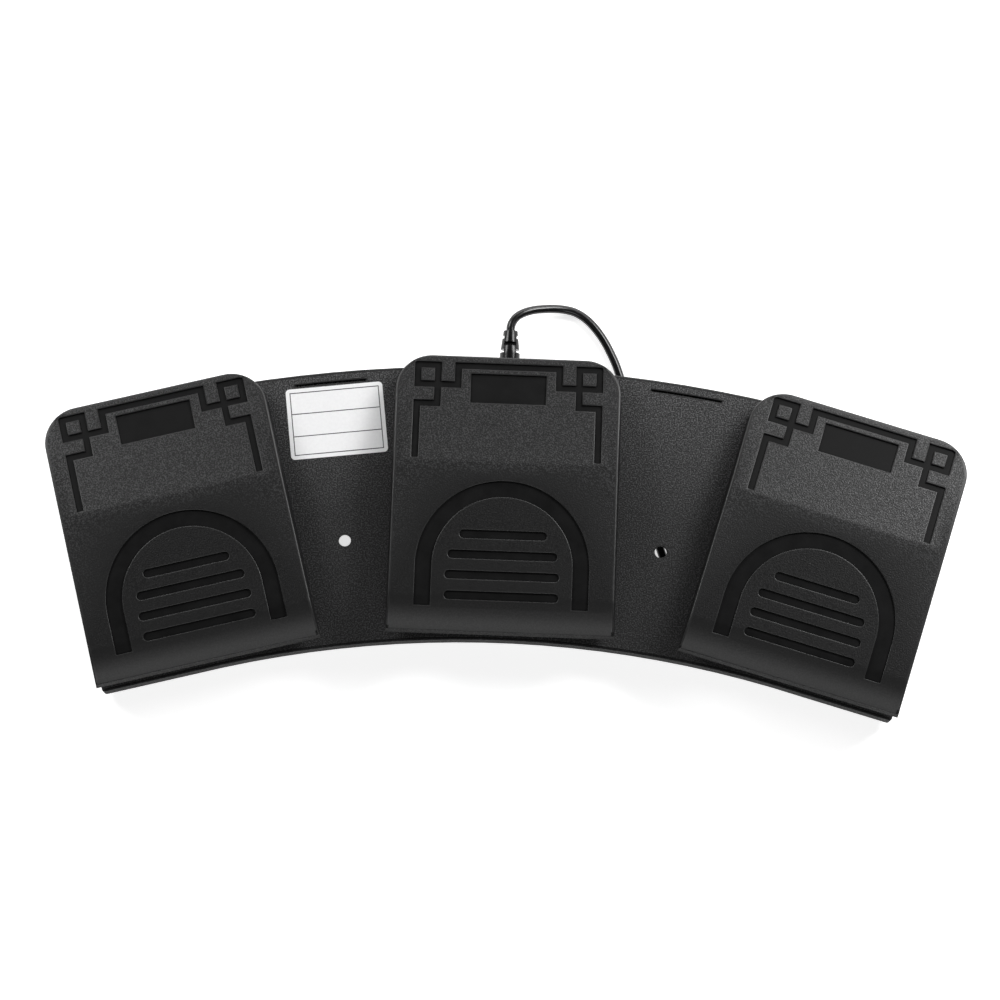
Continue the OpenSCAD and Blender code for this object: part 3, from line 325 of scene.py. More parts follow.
class Softener:
    """Rounds chosen closed loops of sharp edges: both sides draw back and an arc joins them."""

    STEPS = 4
    # A face that rises more than this is level, and any other draws back by this share
    LEVEL_RISE, WALL_SHARE = 0.7, 0.5
    # A face that rises less than this has the finish of a wall
    WALL_RISE = 0.5
    # Cosines between two edges in line, and between two that fold back
    IN_LINE, FOLDED = 0.999, -0.7

    def __init__(self, bm, radius_of):
        sharp = [e for e in bm.edges
                 if len(e.link_faces) == 2 and e.calc_face_angle(0.0) > SHARP_ANGLE]
        self.radius = {e: r for e, r in ((e, radius_of(e)) for e in sharp) if r > 0}
        self.close_loops()
        self.points, self.faces = [], []
        self.place, self.side, self.arc = {}, {}, {}
        for vert in bm.verts:
            self.add_vert(vert)
        for face in bm.faces:
            self.faces.append([self.at(v, face) for v in face.verts])
        self.flat_count = len(self.faces)
        for edge in self.radius:
            self.add_strip(edge)

    def close_loops(self):
        """Drops edges whose ends don't run on into just one other chosen edge."""
        while True:
            at = {}
            for edge in self.radius:
                for vert in edge.verts:
                    at.setdefault(vert, []).append(edge)
            loose = {e for edges in at.values() if len(edges) != 2 for e in edges}
            self.ends = at
            if not loose:
                return
            for edge in loose:
                del self.radius[edge]

    def add_point(self, point):
        self.points.append(tuple(point))
        return len(self.points) - 1

    def add_vert(self, vert):
        """Keeps a point, or opens one on a chosen loop into an arc."""
        if vert not in self.ends:
            self.place[vert] = self.add_point(vert.co)
            return
        first, second = self.ends[vert]
        near = [self.fan(vert, first.link_faces[0])]
        near.append([f for f in vert.link_faces if f not in near[0]])
        drawn = []
        for n, faces in enumerate(near):
            for face in faces:
                self.side[vert, face] = n
            drawn.append(vert.co + self.draw_back(first, second, faces))
        start, end = drawn
        row = []
        for k in range(self.STEPS + 1):
            t = k / self.STEPS
            row.append(self.add_point(
                (1 - t) ** 2 * start + 2 * t * (1 - t) * vert.co + t * t * end))
        self.arc[vert] = row

    def fan(self, vert, start):
        """Faces round a corner that are reached from one face without crossing a chosen edge."""
        found, todo = [start], [start]
        while todo:
            face = todo.pop()
            for edge in face.edges:
                if vert in edge.verts and edge not in self.radius:
                    for other in edge.link_faces:
                        if other not in found:
                            found.append(other)
                            todo.append(other)
        return found

    def draw_back(self, first, second, faces):
        """The move that takes a corner off both chosen edges, along the surface on one side."""
        inward, size = [], []
        for edge in (first, second):
            face = next(f for f in edge.link_faces if f in faces)
            loop = next(lp for lp in face.loops if lp.edge == edge)
            along = (loop.link_loop_next.vert.co - loop.vert.co).normalized()
            inward.append(face.normal.cross(along).normalized())
            share = 1.0 if face.normal.z > self.LEVEL_RISE else self.WALL_SHARE
            size.append(self.radius[edge] * share)
        a, b = inward
        s, t = size
        c = a.dot(b)
        if c > self.IN_LINE:
            return (a + b) * (0.25 * (s + t))
        if c < self.FOLDED:
            return (a + b) * max(s, t)
        return (a * (s - c * t) + b * (t - c * s)) / (1 - c * c)

    def at(self, vert, face):
        if vert in self.place:
            return self.place[vert]
        return self.arc[vert][-1 if self.side[vert, face] else 0]

    def add_strip(self, edge):
        """Joins the arcs at both ends of a chosen edge."""
        face = edge.link_faces[0]
        loop = next(lp for lp in face.loops if lp.edge == edge)
        rows = []
        for vert in (loop.vert, loop.link_loop_next.vert):
            row = self.arc[vert]
            rows.append(row[::-1] if self.side[vert, face] else row)
        for k in range(self.STEPS):
            self.faces.append([rows[1][k], rows[0][k], rows[0][k + 1], rows[1][k + 1]])

    def mesh(self, name, finishes):
        """The mesh, with finishes for its level faces, rounded edges and walls."""
        made = bpy.data.meshes.new(name)
        made.from_pydata(self.points, [], self.faces)
        for material in finishes:
            made.materials.append(material)
        rise = np.abs(face_values(made, "normal")[:, 2])
        index = np.where(rise < self.WALL_RISE, WALL, FLAT)
        index[self.flat_count:] = ROUNDED
        made.polygons.foreach_set("material_index", index.astype(np.int32))
        made.validate()
        return made


def face_values(mesh, name):
    """The normals or centres of a mesh's faces, one row each."""
    values = np.empty(len(mesh.polygons) * 3)
    mesh.polygons.foreach_get(name, values)
    return values.reshape(-1, 3)


def face_finishes(mesh):
    """The place of each face's finish in the list of materials."""
    index = np.empty(len(mesh.polygons), np.int32)
    mesh.polygons.foreach_get("material_index", index)
    return index


def softened_copy(node, name, radius_of, finish_names):
    """A copy of a moulding with chosen loops of edges rounded."""
    bm = welded(node)
    bm.normal_update()
    mesh = Softener(bm, radius_of).mesh(name, [finish(n) for n in finish_names])
    bm.free()
    return smoothed(new_object(name, mesh))


def dull_front(mesh, on_front):
    """Gives the rounded edges along a moulding's front the dull finish of its walls."""
    index = face_finishes(mesh)
    index[(index == ROUNDED) & on_front] = WALL
    mesh.polygons.foreach_set("material_index", index)


# Materials

def add_node(tree, kind, links=(), **values):
    """A node with its inputs linked or set."""
    made = tree.nodes.new(kind)
    for key, value in values.items():
        setattr(made, key, value)
    for socket, source in dict(links).items():
        if isinstance(source, bpy.types.NodeSocket):
            tree.links.new(source, made.inputs[socket])
        else:
            made.inputs[socket].default_value = source
    return made


def scaled(colour, factor):
    """A colour made lighter or darker."""
    return tuple(min(1.0, c * factor) for c in colour)


class Finish:
    """A material on its way, with short calls for its nodes."""

    # The colour sockets of a Mix node
    MIX_A, MIX_B, MIX_RESULT = 6, 7, 2

    def __init__(self, name):
        self.material = bpy.data.materials.new(name)
        self.material.use_nodes = True
        self.tree = self.material.node_tree
        self.tree.nodes.clear()
        self.coords = self.node("TexCoord", out="Object")

    def node(self, kind, links=(), out=0, **values):
        """An output of a new shader node."""
        return add_node(self.tree, "ShaderNode" + kind, links, **values).outputs[out]

    def noise(self, scale, detail=2.0, roughness=0.5, stretch=None):
        place = self.coords
        if stretch:
            place = self.node("Mapping", {"Vector": place, "Scale": stretch})
        return self.node("TexNoise", {
            "Vector": place, "Scale": scale, "Detail": detail, "Roughness": roughness}, "Fac")

    def cells(self, scale):
        return self.node("TexVoronoi", {"Vector": self.coords, "Scale": scale}, "Distance")

    def ramp(self, source, ends, colour, low, high):
        """A colour made low to high times as light between two levels of a pattern."""
        made = add_node(self.tree, "ShaderNodeValToRGB", {"Fac": source})
        for stop, place, factor in zip(made.color_ramp.elements, ends, (low, high)):
            stop.position = place
            stop.color = (*scaled(colour, factor), 1.0)
        return made.outputs["Color"]

    def attribute(self, name):
        return self.node("Attribute", out="Fac", attribute_name=name)

    def distance_from(self, point):
        return self.node("VectorMath", {0: self.coords, 1: point}, "Value", operation="DISTANCE")

    def between(self, source, ends, low, high):
        """A value that goes from low to high between two levels of a pattern."""
        return self.node("MapRange", {
            "Value": source, "From Min": ends[0], "From Max": ends[1],
            "To Min": low, "To Max": high}, "Result")

    def mixed(self, a, b, share):
        return self.node("Mix", {"Factor": share, "A": a, "B": b}, "Result", data_type="FLOAT")

    def mixed_colour(self, a, b, share):
        return self.node("Mix", {"Factor": share, self.MIX_A: a, self.MIX_B: b},
                         self.MIX_RESULT, data_type="RGBA")

    def surface(self, shader):
        """Ends the material with a shader."""
        add_node(self.tree, "ShaderNodeOutputMaterial", {"Surface": shader})
        return self.material

    def done(self, colour, rough, relief, gloss=0.5, metal=0.0):
        """Ends the material with its patterns: relief is a height, a strength and a depth."""
        bump = self.node("Bump", dict(zip(("Height", "Strength", "Distance"), relief)), "Normal")
        return self.surface(self.node("BsdfPrincipled", {
            "Base Color": colour, "Roughness": rough, "Normal": bump,
            "Specular IOR Level": gloss, "Metallic": metal}, "BSDF"))


# Levels of a pattern between which a colour changes: most of it, its pits, and its pits in front of
# a pedal's ridge, where the painted light of the rear slope ends
MOST, PITS, RIDGE_FRONT_PITS = (0.3, 0.7), (0.45, 0.66), (0.4, 0.65)
# The same for the roughness of grained plastic, the share of coarse grain and the lip's relief
GRAIN_ROUGH, COARSE_SHARE, LIP_RELIEF = (0.35, 0.65), 0.1, 0.3


def grain_pattern(f, grain):
    """Fine and coarse pits of spark-eroded plastic."""
    fine, coarse = (f.noise(size / grain, 1.0, 0.5) for size in (1.0, 0.4))
    return f.mixed(fine, coarse, COARSE_SHARE)


def grained_plastic(name, colour, grain, low, high, relief, roughness, gloss=0.44, lip_rough=None):
    """Black plastic with a spark-eroded grain, which can fade out towards a smoother lip; on a
    pedal its speckle is painted lighter behind the ridge, as painted light on the rear slope.
    """
    f = Finish(name)
    pits = grain_pattern(f, grain)
    tone = f.ramp(pits, PITS, colour, low, high)
    rough = f.between(pits, GRAIN_ROUGH, roughness + 0.12, roughness - 0.1)
    strength = 1.0
    if lip_rough is not None:
        lip = f.attribute("lip")
        # Painted light: behind a pedal's ridge the speckle is painted lighter, for the light on the
        # rear slope; in front of the ridge it is plain
        ridge_front_speckle = f.ramp(pits, RIDGE_FRONT_PITS, colour, 0.6, 2.0)
        tone = f.mixed_colour(tone, ridge_front_speckle, f.attribute("rub"))
        rough = f.mixed(rough, lip_rough, lip)
        strength = f.between(lip, (0.0, 1.0), 1.0, LIP_RELIEF)
    return f.done(tone, rough, (pits, strength, relief * grain), gloss)


def base_plastic(name, colour, grain):
    """Grained black plastic with painted light: a grey lightening towards the rear edge."""
    f = Finish(name)
    pits = grain_pattern(f, grain)
    base_speckle = f.ramp(pits, PITS, colour, 0.2, 8.5)
    # Painted light: towards the rear edge the grain is painted a lighter grey, for the brighter
    # light that falls there
    painted_rear_light = f.ramp(pits, PITS, colour, 1.0, 18.0)
    far = f.between(f.distance_from(fan_centre(BASE_TOP)), PAINTED_LIGHT_REACH, 0.0, 1.0)
    rough = f.between(pits, GRAIN_ROUGH, 0.62, 0.34)
    return f.done(f.mixed_colour(base_speckle, painted_rear_light, far), rough, (pits, 1.0, 0.25 * grain), 0.48)


def smooth_plastic(name, colour, roughness, gloss=0.4):
    """Smooth satin plastic with a faint flow pattern."""
    f = Finish(name)
    flow = f.noise(160.0, 3.0, 0.6)
    return f.done(f.ramp(flow, MOST, colour, 0.85, 1.15),
                  f.between(flow, MOST, roughness - 0.05, roughness + 0.06),
                  (f.noise(2500.0, 1.0), 0.08, 0.00002), gloss)


def soft_rubber(name, colour):
    """Matte moulded rubber with a little dust."""
    f = Finish(name)
    dust = f.noise(420.0, 4.0, 0.65)
    return f.done(f.ramp(dust, (0.35, 0.75), colour, 0.8, 1.5), f.between(dust, MOST, 0.72, 0.88),
                  (f.noise(3000.0, 2.0), 0.25, 0.00004), 0.35)


def bright_metal(name, colour, roughness, stretch):
    """Drawn or rolled metal with fine lines."""
    f = Finish(name)
    lines = f.noise(900.0, 3.0, 0.6, stretch)
    return f.done(f.ramp(lines, MOST, colour, 0.86, 1.06),
                  f.between(lines, MOST, roughness - 0.06, roughness + 0.08),
                  (lines, 0.12, 0.00002), metal=1.0)


def board_mask(name, colour):
    """Green solder mask over copper traces."""
    f = Finish(name)
    traces = f.cells(420.0)
    return f.done(f.ramp(traces, (0.16, 0.34), colour, 1.5, 1.0),
                  f.between(f.noise(500.0), MOST, 0.28, 0.4),
                  (traces, 0.2, 0.00003))


def label_film(name, colour):
    """White film with a faint rolled grain."""
    f = Finish(name)
    grain = f.noise(900.0, 3.0, 0.6)
    return f.done(f.ramp(grain, MOST, colour, 0.97, 1.02), f.between(grain, MOST, 0.46, 0.54),
                  (grain, 0.05, 0.00001), 0.4)


# Each finish has its maker, and then the colour and other values that the maker takes
PLAIN_FINISHES = {
    "rubber": (soft_rubber, (0.014, 0.014, 0.014)),
    "relief_rubber": (smooth_plastic, (0.005, 0.005, 0.0052), 0.24, 0.4),
    "label_film": (label_film, (0.92, 0.92, 0.925)),
    "label_ink": (smooth_plastic, (0.06, 0.06, 0.062), 0.5),
    "pin_steel": (bright_metal, (0.56, 0.57, 0.58), 0.3, (6.0, 0.3, 0.3)),
    "spring_steel": (bright_metal, (0.6, 0.61, 0.62), 0.26, (1.0, 1.0, 1.0)),
    "nickel": (bright_metal, (0.72, 0.72, 0.7), 0.22, (0.2, 3.0, 3.0)),
    "gold": (bright_metal, (0.8, 0.58, 0.25), 0.25, (1.0, 1.0, 1.0)),
    "solder_mask": (board_mask, (0.012, 0.11, 0.035)),
    "chip_epoxy": (soft_rubber, (0.018, 0.018, 0.019)),
    "header_nylon": (smooth_plastic, (0.62, 0.59, 0.48), 0.45),
    "switch_body": (smooth_plastic, (0.03, 0.032, 0.036), 0.42),
    "button_red": (smooth_plastic, (0.42, 0.03, 0.022), 0.36),
    "lead_jacket": (smooth_plastic, (0.035, 0.037, 0.042), 0.4),
    "tie_nylon": (smooth_plastic, (0.01, 0.01, 0.01), 0.4),
    "plug_plastic": (grained_plastic, (0.012, 0.012, 0.0125), 0.0005, 0.6, 1.6, 0.2, 0.46),
    "plug_white": (smooth_plastic, (0.74, 0.73, 0.69), 0.4),
}
FINISHES = {}


def set_finishes():
    """The finishes whose colours come from the settings."""
    moulding, cord = bpy.context.scene.pedal_moulding, bpy.context.scene.pedal_cord
    black, grain = tuple(moulding.colour), moulding.grain
    return {
        # The pedals' speckle rises to eleven times their colour: painted light on their rear slopes
        "pedal_plastic": (grained_plastic, black, grain, 0.1, 11.0, 0.2, 0.42, 0.43, 0.44),
        "wall_plastic": (grained_plastic, black, grain, 0.5, 2.5, 0.3, 0.72, 0.18),
        "base_plastic": (base_plastic, scaled(black, 1.42), grain),
        "sunk_plastic": (smooth_plastic, tuple(moulding.sunk_colour), 0.5, 0.12),
        "edge_plastic": (smooth_plastic, scaled(black, 2.0), 0.42, 0.5),
        "cord_jacket": (smooth_plastic, tuple(cord.jacket), 0.22, 0.5),
    }


def finish(name):
    """The named finish, made when it is first asked for."""
    if name not in FINISHES:
        maker, *values = {**PLAIN_FINISHES, **set_finishes()}[name]
        FINISHES[name] = maker(name, *values)
    return FINISHES[name]


def dress(node, name):
    """Gives a CAD node that stays in view its finish."""
    materials = NODES[node].data.materials
    materials.clear()
    materials.append(finish(name))


# Geometry Nodes trees

def new_tree(name, **inputs):
    """An empty geometry tree with named inputs and a finish."""
    tree = bpy.data.node_groups.new(name, "GeometryNodeTree")
    tree.interface.new_socket("Geometry", in_out="INPUT", socket_type="NodeSocketGeometry")
    tree.interface.new_socket("Geometry", in_out="OUTPUT", socket_type="NodeSocketGeometry")
    for label, kind in {**inputs, "Finish": "Material"}.items():
        tree.interface.new_socket(
            label.replace("_", " "), in_out="INPUT", socket_type="NodeSocket" + kind)
    return tree, tree.nodes.new("NodeGroupInput").outputs


def grow(tree, kind, links, **values):
    """The first output of a new geometry node."""
    return add_node(tree, "GeometryNode" + kind, links, **values).outputs[0]


def end_tree(tree, geometry, given):
    """Closes a tree with real geometry and its finish."""
    real = grow(tree, "RealizeInstances", {"Geometry": geometry})
    painted = grow(tree, "SetMaterial", {"Geometry": real, "Material": given["Finish"]})
    add_node(tree, "NodeGroupOutput", {"Geometry": painted})
    return tree


def end_tube(tree, curve, sides, radius, given):
    """Closes a tree with a round tube along a curve."""
    ring = grow(tree, "CurvePrimitiveCircle", {"Resolution": sides, "Radius": radius})
    wall = grow(tree, "CurveToMesh", {"Curve": curve, "Profile Curve": ring, "Fill Caps": True})
    return end_tree(tree, grow(tree, "SetShadeSmooth", {"Geometry": wall}), given)


def tube_tree():
    """Round tube along a curve."""
    tree, given = new_tree("Round tube", Radius="Float", Sides="Int")
    return end_tube(tree, given["Geometry"], given["Sides"], given["Radius"], given)


def spring_tree():
    """Helical spring of round wire."""
    tree, given = new_tree("Helical spring", Wire="Float", Radius="Float", Height="Float",
                           Turns="Float", Place="Vector")
    spiral = grow(tree, "CurveSpiral", {
        "Resolution": 40, "Rotations": given["Turns"], "Start Radius": given["Radius"],
        "End Radius": given["Radius"], "Height": given["Height"]})
    placed = grow(tree, "Transform", {"Geometry": spiral, "Translation": given["Place"]})
    return end_tube(tree, placed, 12, given["Wire"], given)


def row_tree():
    """A row of equal bars."""
    tree, given = new_tree("Row of bars", Count="Int", Start="Vector", Step="Vector", Bar="Vector")
    line = grow(tree, "MeshLine", {
        "Count": given["Count"], "Start Location": given["Start"], "Offset": given["Step"]})
    bar = grow(tree, "MeshCube", {"Size": given["Bar"]})
    bars = grow(tree, "InstanceOnPoints", {"Points": line, "Instance": bar})
    return end_tree(tree, bars, given)


def screw_tree():
    """Pan-head screws with a cross recess, one on each point."""
    tree, given = new_tree("Cross-head screws", Head_radius="Float", Head_height="Float",
                           Shank_radius="Float", Shank="Float")

    def times(name, factor):
        return add_node(
            tree, "ShaderNodeMath", {0: given[name], 1: factor}, operation="MULTIPLY").outputs[0]

    def vector(**parts):
        return add_node(tree, "ShaderNodeCombineXYZ", parts).outputs[0]

    def lifted(mesh, z):
        return grow(tree, "Transform", {"Geometry": mesh, "Translation": vector(Z=z)})

    head = grow(tree, "MeshCone", {
        "Vertices": 24, "Radius Top": times("Head radius", 0.8),
        "Radius Bottom": given["Head radius"], "Depth": given["Head height"]})
    shank = grow(tree, "MeshCylinder", {
        "Vertices": 16, "Radius": given["Shank radius"], "Depth": given["Shank"]})
    cut = add_node(tree, "GeometryNodeMeshBoolean", {"Mesh 1": head}, operation="DIFFERENCE")
    long, thin = times("Head radius", 1.15), times("Head radius", 0.3)
    deep = times("Head height", 0.5)
    for x, y in ((long, thin), (thin, long)):
        cube = grow(tree, "MeshCube", {"Size": vector(X=x, Y=y, Z=deep)})
        tree.links.new(lifted(cube, given["Head height"]), cut.inputs["Mesh 2"])
    both = tree.nodes.new("GeometryNodeJoinGeometry")
    for part in (cut.outputs["Mesh"], lifted(shank, times("Shank", -0.5))):
        tree.links.new(part, both.inputs[0])
    screws = grow(tree, "InstanceOnPoints", {
        "Points": given["Geometry"], "Instance": both.outputs[0]})
    return end_tree(tree, screws, given)


TREES = {}


def grown(name, maker, finish_name, source=None, **values):
    """A piece made by a geometry tree, as a plain mesh."""
    if maker not in TREES:
        TREES[maker] = maker()
    tree = TREES[maker]
    obj = new_object(name, source or bpy.data.meshes.new(name))
    modifier = obj.modifiers.new(tree.name, "NODES")
    modifier.node_group = tree
    sockets = {s.name: s.identifier for s in tree.interface.items_tree if s.in_out == "INPUT"}
    modifier[sockets["Finish"]] = finish(finish_name)
    for key, value in values.items():
        modifier[sockets[key.replace("_", " ")]] = value
    return settle(obj)


def tube(name, points, finish_name, radius, sides):
    """A round tube through points, in metres."""
    curve = bpy.data.curves.new(name + "_line", "CURVE")
    curve.dimensions = "3D"
    spline = curve.splines.new("POLY")
    spline.points.add(len(points) - 1)
    for target, p in zip(spline.points, points):
        target.co = (*p, 1.0)
    return grown(name, tube_tree, finish_name, curve, Radius=radius * MM, Sides=sides)


def smooth_route(points, steps):
    """Extra points on the smooth curve through a route."""
    p = [Vector(q) for q in points]
    last = len(p) - 1
    made = []
    for i in range(last):
        a, b, c, d = p[max(i - 1, 0)], p[i], p[i + 1], p[min(i + 2, last)]
        for k in range(steps):
            t = k / steps
            made.append(0.5 * (2 * b + (c - a) * t + (2 * a - 5 * b + 4 * c - d) * t * t
                               + (3 * b - a - 3 * c + d) * t ** 3))
    return made + [p[last]]


# Operators

class PedalFrame:
    """The frame of a pressed pedal, in millimetres: u across, v back, w up from its rim."""

    def __init__(self, side):
        self.hinge, self.across, self.back = (np.array(v) for v in pedal_axes(side))
        press = math.radians(PRESS[side]["range_deg"][1])
        self.turn = np.array(Matrix.Rotation(press, 3, Vector(self.across)))

    def points(self, p):
        q = (np.atleast_2d(p) - self.hinge) @ self.turn.T / MM
        return q @ self.across, q @ self.back + HINGE_V, q[:, 2] + HINGE_W

    def normals(self, n):
        return np.atleast_2d(n) @ self.turn.T

    def from_side(self, u, v):
        """Distance from the pedal's outline in plan."""
        side = HALF_WIDTH - np.abs(u)
        rear = REAR_V - v
        near = np.minimum(np.minimum(side, rear), v)
        a, b = CORNER_RADIUS - side, CORNER_RADIUS - rear
        return np.where((a > 0) & (b > 0), CORNER_RADIUS - np.hypot(a, b), near)


class PedalPieces(bpy.types.Operator):
    """Rounds and finishes the three pedals"""

    bl_idname = "foot_pedal.pedals"
    bl_label = "Pedals"

    def execute(self, context):
        for side in SIDES:
            self.make(context.scene.pedal_moulding, side)
        return {"FINISHED"}

    def make(self, moulding, side):
        node = side + "_pedal"
        own = PedalFrame(side)

        def radius_of(edge):
            u, v, w = own.points([tuple(vert.co) for vert in edge.verts])
            if np.any(np.abs(top_height(v) - w) > ON_TOP):
                return 0.0
            if np.any(own.from_side(u, v) > ON_RIM):
                return moulding.line_round
            return moulding.front_round if np.all(v < FRONT_STRIP) else moulding.edge_round

        obj = softened_copy(node, node + "_moulding", radius_of, (
            "pedal_plastic", "edge_plastic", "wall_plastic", "sunk_plastic"))
        self.paint(obj.data, own)
        finish_piece(obj, node, "pedal_plastic", node)

    def paint(self, mesh, own):
        """Gives the sunk lines their smooth floors, and marks the lip and the top in front of the
        ridge, where the rear slope's painted light ends.
        """
        _, v, w = own.points(face_values(mesh, "center"))
        up = own.normals(face_values(mesh, "normal"))[:, 2]
        depth = (top_height(v) - w) / GROOVE_DEPTH
        index = face_finishes(mesh)
        index[(depth > 0.6) & (depth < 1.4) & (up > 0.8)] = SUNK
        mesh.polygons.foreach_set("material_index", index)
        dull_front(mesh, v < FRONT_STRIP)
        place = np.empty(len(mesh.vertices) * 3)
        mesh.vertices.foreach_get("co", place)
        _, v, _ = own.points(place.reshape(-1, 3))
        for name, share in (("lip", (LIP_V - v) / LIP_FADE), ("rub", (RIDGE_V - v) / RIDGE_FADE)):
            mark = mesh.attributes.new(name, "FLOAT", "POINT")
            mark.data.foreach_set("value", np.clip(share, 0.0, 1.0).astype(np.float32))


class BasePiece(bpy.types.Operator):
    """Rounds and finishes the base, its feet and the bare label"""

    bl_idname = "foot_pedal.base"
    bl_label = "Base and label"

    # How near an edge is to the top, and a wall's foot to the base's, to count as there, in metres
    TOP_NEAR, FOOT_NEAR = 2e-5, 1e-4
    # A face that rises more than the first is level, and another above the second is a slope
    LEVEL_RISE, SLOPE_RISE = 0.9, 0.5

    def execute(self, context):
        moulding = context.scene.pedal_moulding
        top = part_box("blank_label")[0].z

        def radius_of(edge):
            off_top = max(abs(vert.co.z - top) for vert in edge.verts)
            if off_top > self.TOP_NEAR or not edge.is_convex:
                return 0.0
            rises = [abs(f.normal.z) for f in edge.link_faces]
            slope = max(rise for rise in rises if rise < self.LEVEL_RISE)
            if slope > self.SLOPE_RISE or self.is_line(edge):
                return moulding.line_round
            return moulding.edge_round

        obj = softened_copy("base", "base_moulding", radius_of, (
            "base_plastic", "edge_plastic", "wall_plastic"))
        out = face_values(obj.data, "center") - np.array(fan_centre(BASE_TOP))
        reach = np.linalg.norm(out[:, :2], axis=1)
        dull_front(obj.data, reach < (FRONT_RADIUS + BASE_STRIP) * MM)
        finish_piece(obj, "base", "base_plastic", "base")
        dress("rubber_feet", "rubber")
        dress("stop_pads", "rubber")
        dress("blank_label", "label_film")
        self.make_rules()
        return {"FINISHED"}

    def is_line(self, edge):
        """Whether an edge bounds a hole, window or sunk line in the top, and not the outline."""
        wall = min(edge.link_faces, key=lambda f: abs(f.normal.z))
        return min(v.co.z for v in wall.verts) > BASE_FOOT * MM + self.FOOT_NEAR

    def make_rules(self):
        """Plain ruled lines round and across the label."""
        turn = Matrix.Rotation(LABEL_TURN, 4, "Z")
        corners = np.array([turn.inverted() @ v.co for v in NODES["blank_label"].data.vertices])
        low, high = Vector(corners.min(axis=0)), Vector(corners.max(axis=0))
        inset, line, thick = RULE_INSET * MM, RULE_WIDTH * MM, RULE_THICK * MM
        wide, deep = high.x - low.x - 2 * inset, high.y - low.y - 2 * inset
        left, front, z = low.x + inset, low.y + inset, high.z + 0.3 * thick
        middle = (low + high) / 2
        rows = {
            "label_frame_across": (
                (middle.x, front, z), (0, deep, 0), (wide + line, line, thick)),
            "label_rules_across": (
                (middle.x, front + RULE_START * deep, z), (0, RULE_STEP * deep, 0),
                (wide - line, line, thick)),
            "label_rules_along": (
                (left, middle.y, z), (wide, 0, 0), (line, deep - line, thick)),
        }
        for name, row in rows.items():
            start, step, bar = (Vector(v) for v in row)
            rules = grown(name, row_tree, "label_ink", Count=2, Start=start, Step=step, Bar=bar)
            rules.data.transform(turn)
            finish_piece(rules, "base", "label")


class Hardware(bpy.types.Operator):
    """Makes the pins, springs and screws"""

    bl_idname = "foot_pedal.hardware"
    bl_label = "Pins, springs and screws"

    def execute(self, context):
        for side in SIDES:
            dress(side + "_hinge_pin", "pin_steel")
            low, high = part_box(side + "_spring")
            wire = SPRING_WIRE * MM
            place = in_pedal(side, 0, SPRING_V, 0)
            place.z = low.z + wire
            spring = grown(
                side + "_coil_spring", spring_tree, "spring_steel", Wire=wire,
                Radius=SPRING_RADIUS * MM, Height=high.z - low.z - 2 * wire,
                Turns=SPRING_TURNS, Place=place)
            finish_piece(spring, "base", "spring_steel", side + "_spring")
            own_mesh(spring)
        self.make_screws()
        return {"FINISHED"}

    def make_screws(self):
        head = HEAD_HEIGHT * MM
        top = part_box("board_screws")[1].z - head / 2
        spots = [in_pedal(side, u, SWITCH_SCREW_V, 0)
                 for side in SIDES for u in (-SWITCH_SCREW_U, SWITCH_SCREW_U)]
        spots += [in_pedal("centre", u, MAIN_SCREW_V, 0) for u in (-MAIN_SCREW_U, MAIN_SCREW_U)]
        mesh = bpy.data.meshes.new("screw_spots")
        mesh.from_pydata([(p.x, p.y, top) for p in spots], [], [])
        screws = grown(
            "cross_head_screws", screw_tree, "pin_steel", mesh, Head_radius=HEAD_RADIUS * MM,
            Head_height=head, Shank_radius=SHANK_RADIUS * MM, Shank=SHANK_LENGTH * MM)
        finish_piece(screws, "base", "steel", "board_screws")


class Electronics(bpy.types.Operator):
    """Finishes the boards, switches and inner leads"""

    bl_idname = "foot_pedal.electronics"
    bl_label = "Boards, switches and leads"

    def execute(self, context):
        for side in SIDES:
            dress(side + "_switch_board", "solder_mask")
            rounded_piece(side + "_switch", side + "_switch_body", 0.2, "switch_body",
                          "base", "switch_plastic")
            rounded_piece(side + "_button", side + "_switch_button", 0.25, "button_red",
                          side + "_button", "button_plastic")
        dress("main_board", "solder_mask")
        dress("control_chip", "chip_epoxy")
        dress("lead_headers", "header_nylon")
        self.make_leads()
        return {"FINISHED"}

    def lead_route(self, side, sign):
        """The lead's points from the main board, through two windows, to an outer switch board."""
        d, u, v = LEAD_BEND, WINDOW_U, WINDOW_V
        low, high, end_u, end_v = LEAD_LOW, LEAD_HIGH, LEAD_END_U, LEAD_END_V
        cut = 0.3 * d
        first = [(LEAD_START_U, high), (u - d, high), (u - cut, high - cut), (u, high - d),
                 (u, low + d), (u + cut, low + cut), (u + d, low)]
        last = [(u + d, v, low), (u + cut, v, low + cut), (u, v, low + d), (u, v, high - d),
                (u - cut, v + 0.4 * d, high - cut), (u - d, v + d, high),
                (end_u + 3 * d, end_v - 2 * d, high), (end_u + 1.5 * d, end_v, high),
                (end_u, end_v, high)]
        radius = math.hypot(FRONT_RADIUS + v, u) * MM
        turn = math.atan2(u, FRONT_RADIUS + v)
        middle = []
        for share in LEAD_SHARES:
            a = sign * (turn + (FAN_ANGLE - 2 * turn) * share)
            middle.append(fan_centre(low) + Vector((math.sin(a), math.cos(a), 0.0)) * radius)
        start = [in_pedal("centre", sign * p, v, z) for p, z in first]
        return start + middle + [in_pedal(side, -sign * p, q, z) for p, q, z in last]

    def make_leads(self):
        for side, sign in (("left", -1), ("right", 1)):
            points = smooth_route(self.lead_route(side, sign), ROUTE_STEPS)
            lead = tube(side + "_switch_lead", points, "lead_jacket", LEAD_RADIUS, 12)
            finish_piece(lead, "base", "lead", side + "_lead")
        points = smooth_route([in_pedal("centre", *p) for p in INNER_ROUTE], ROUTE_STEPS)
        inner = tube("inner_cord_jacket", points, "cord_jacket", CORD_WIDTH / 2, 14)
        finish_piece(inner, "base", "cord", "inner_cord")


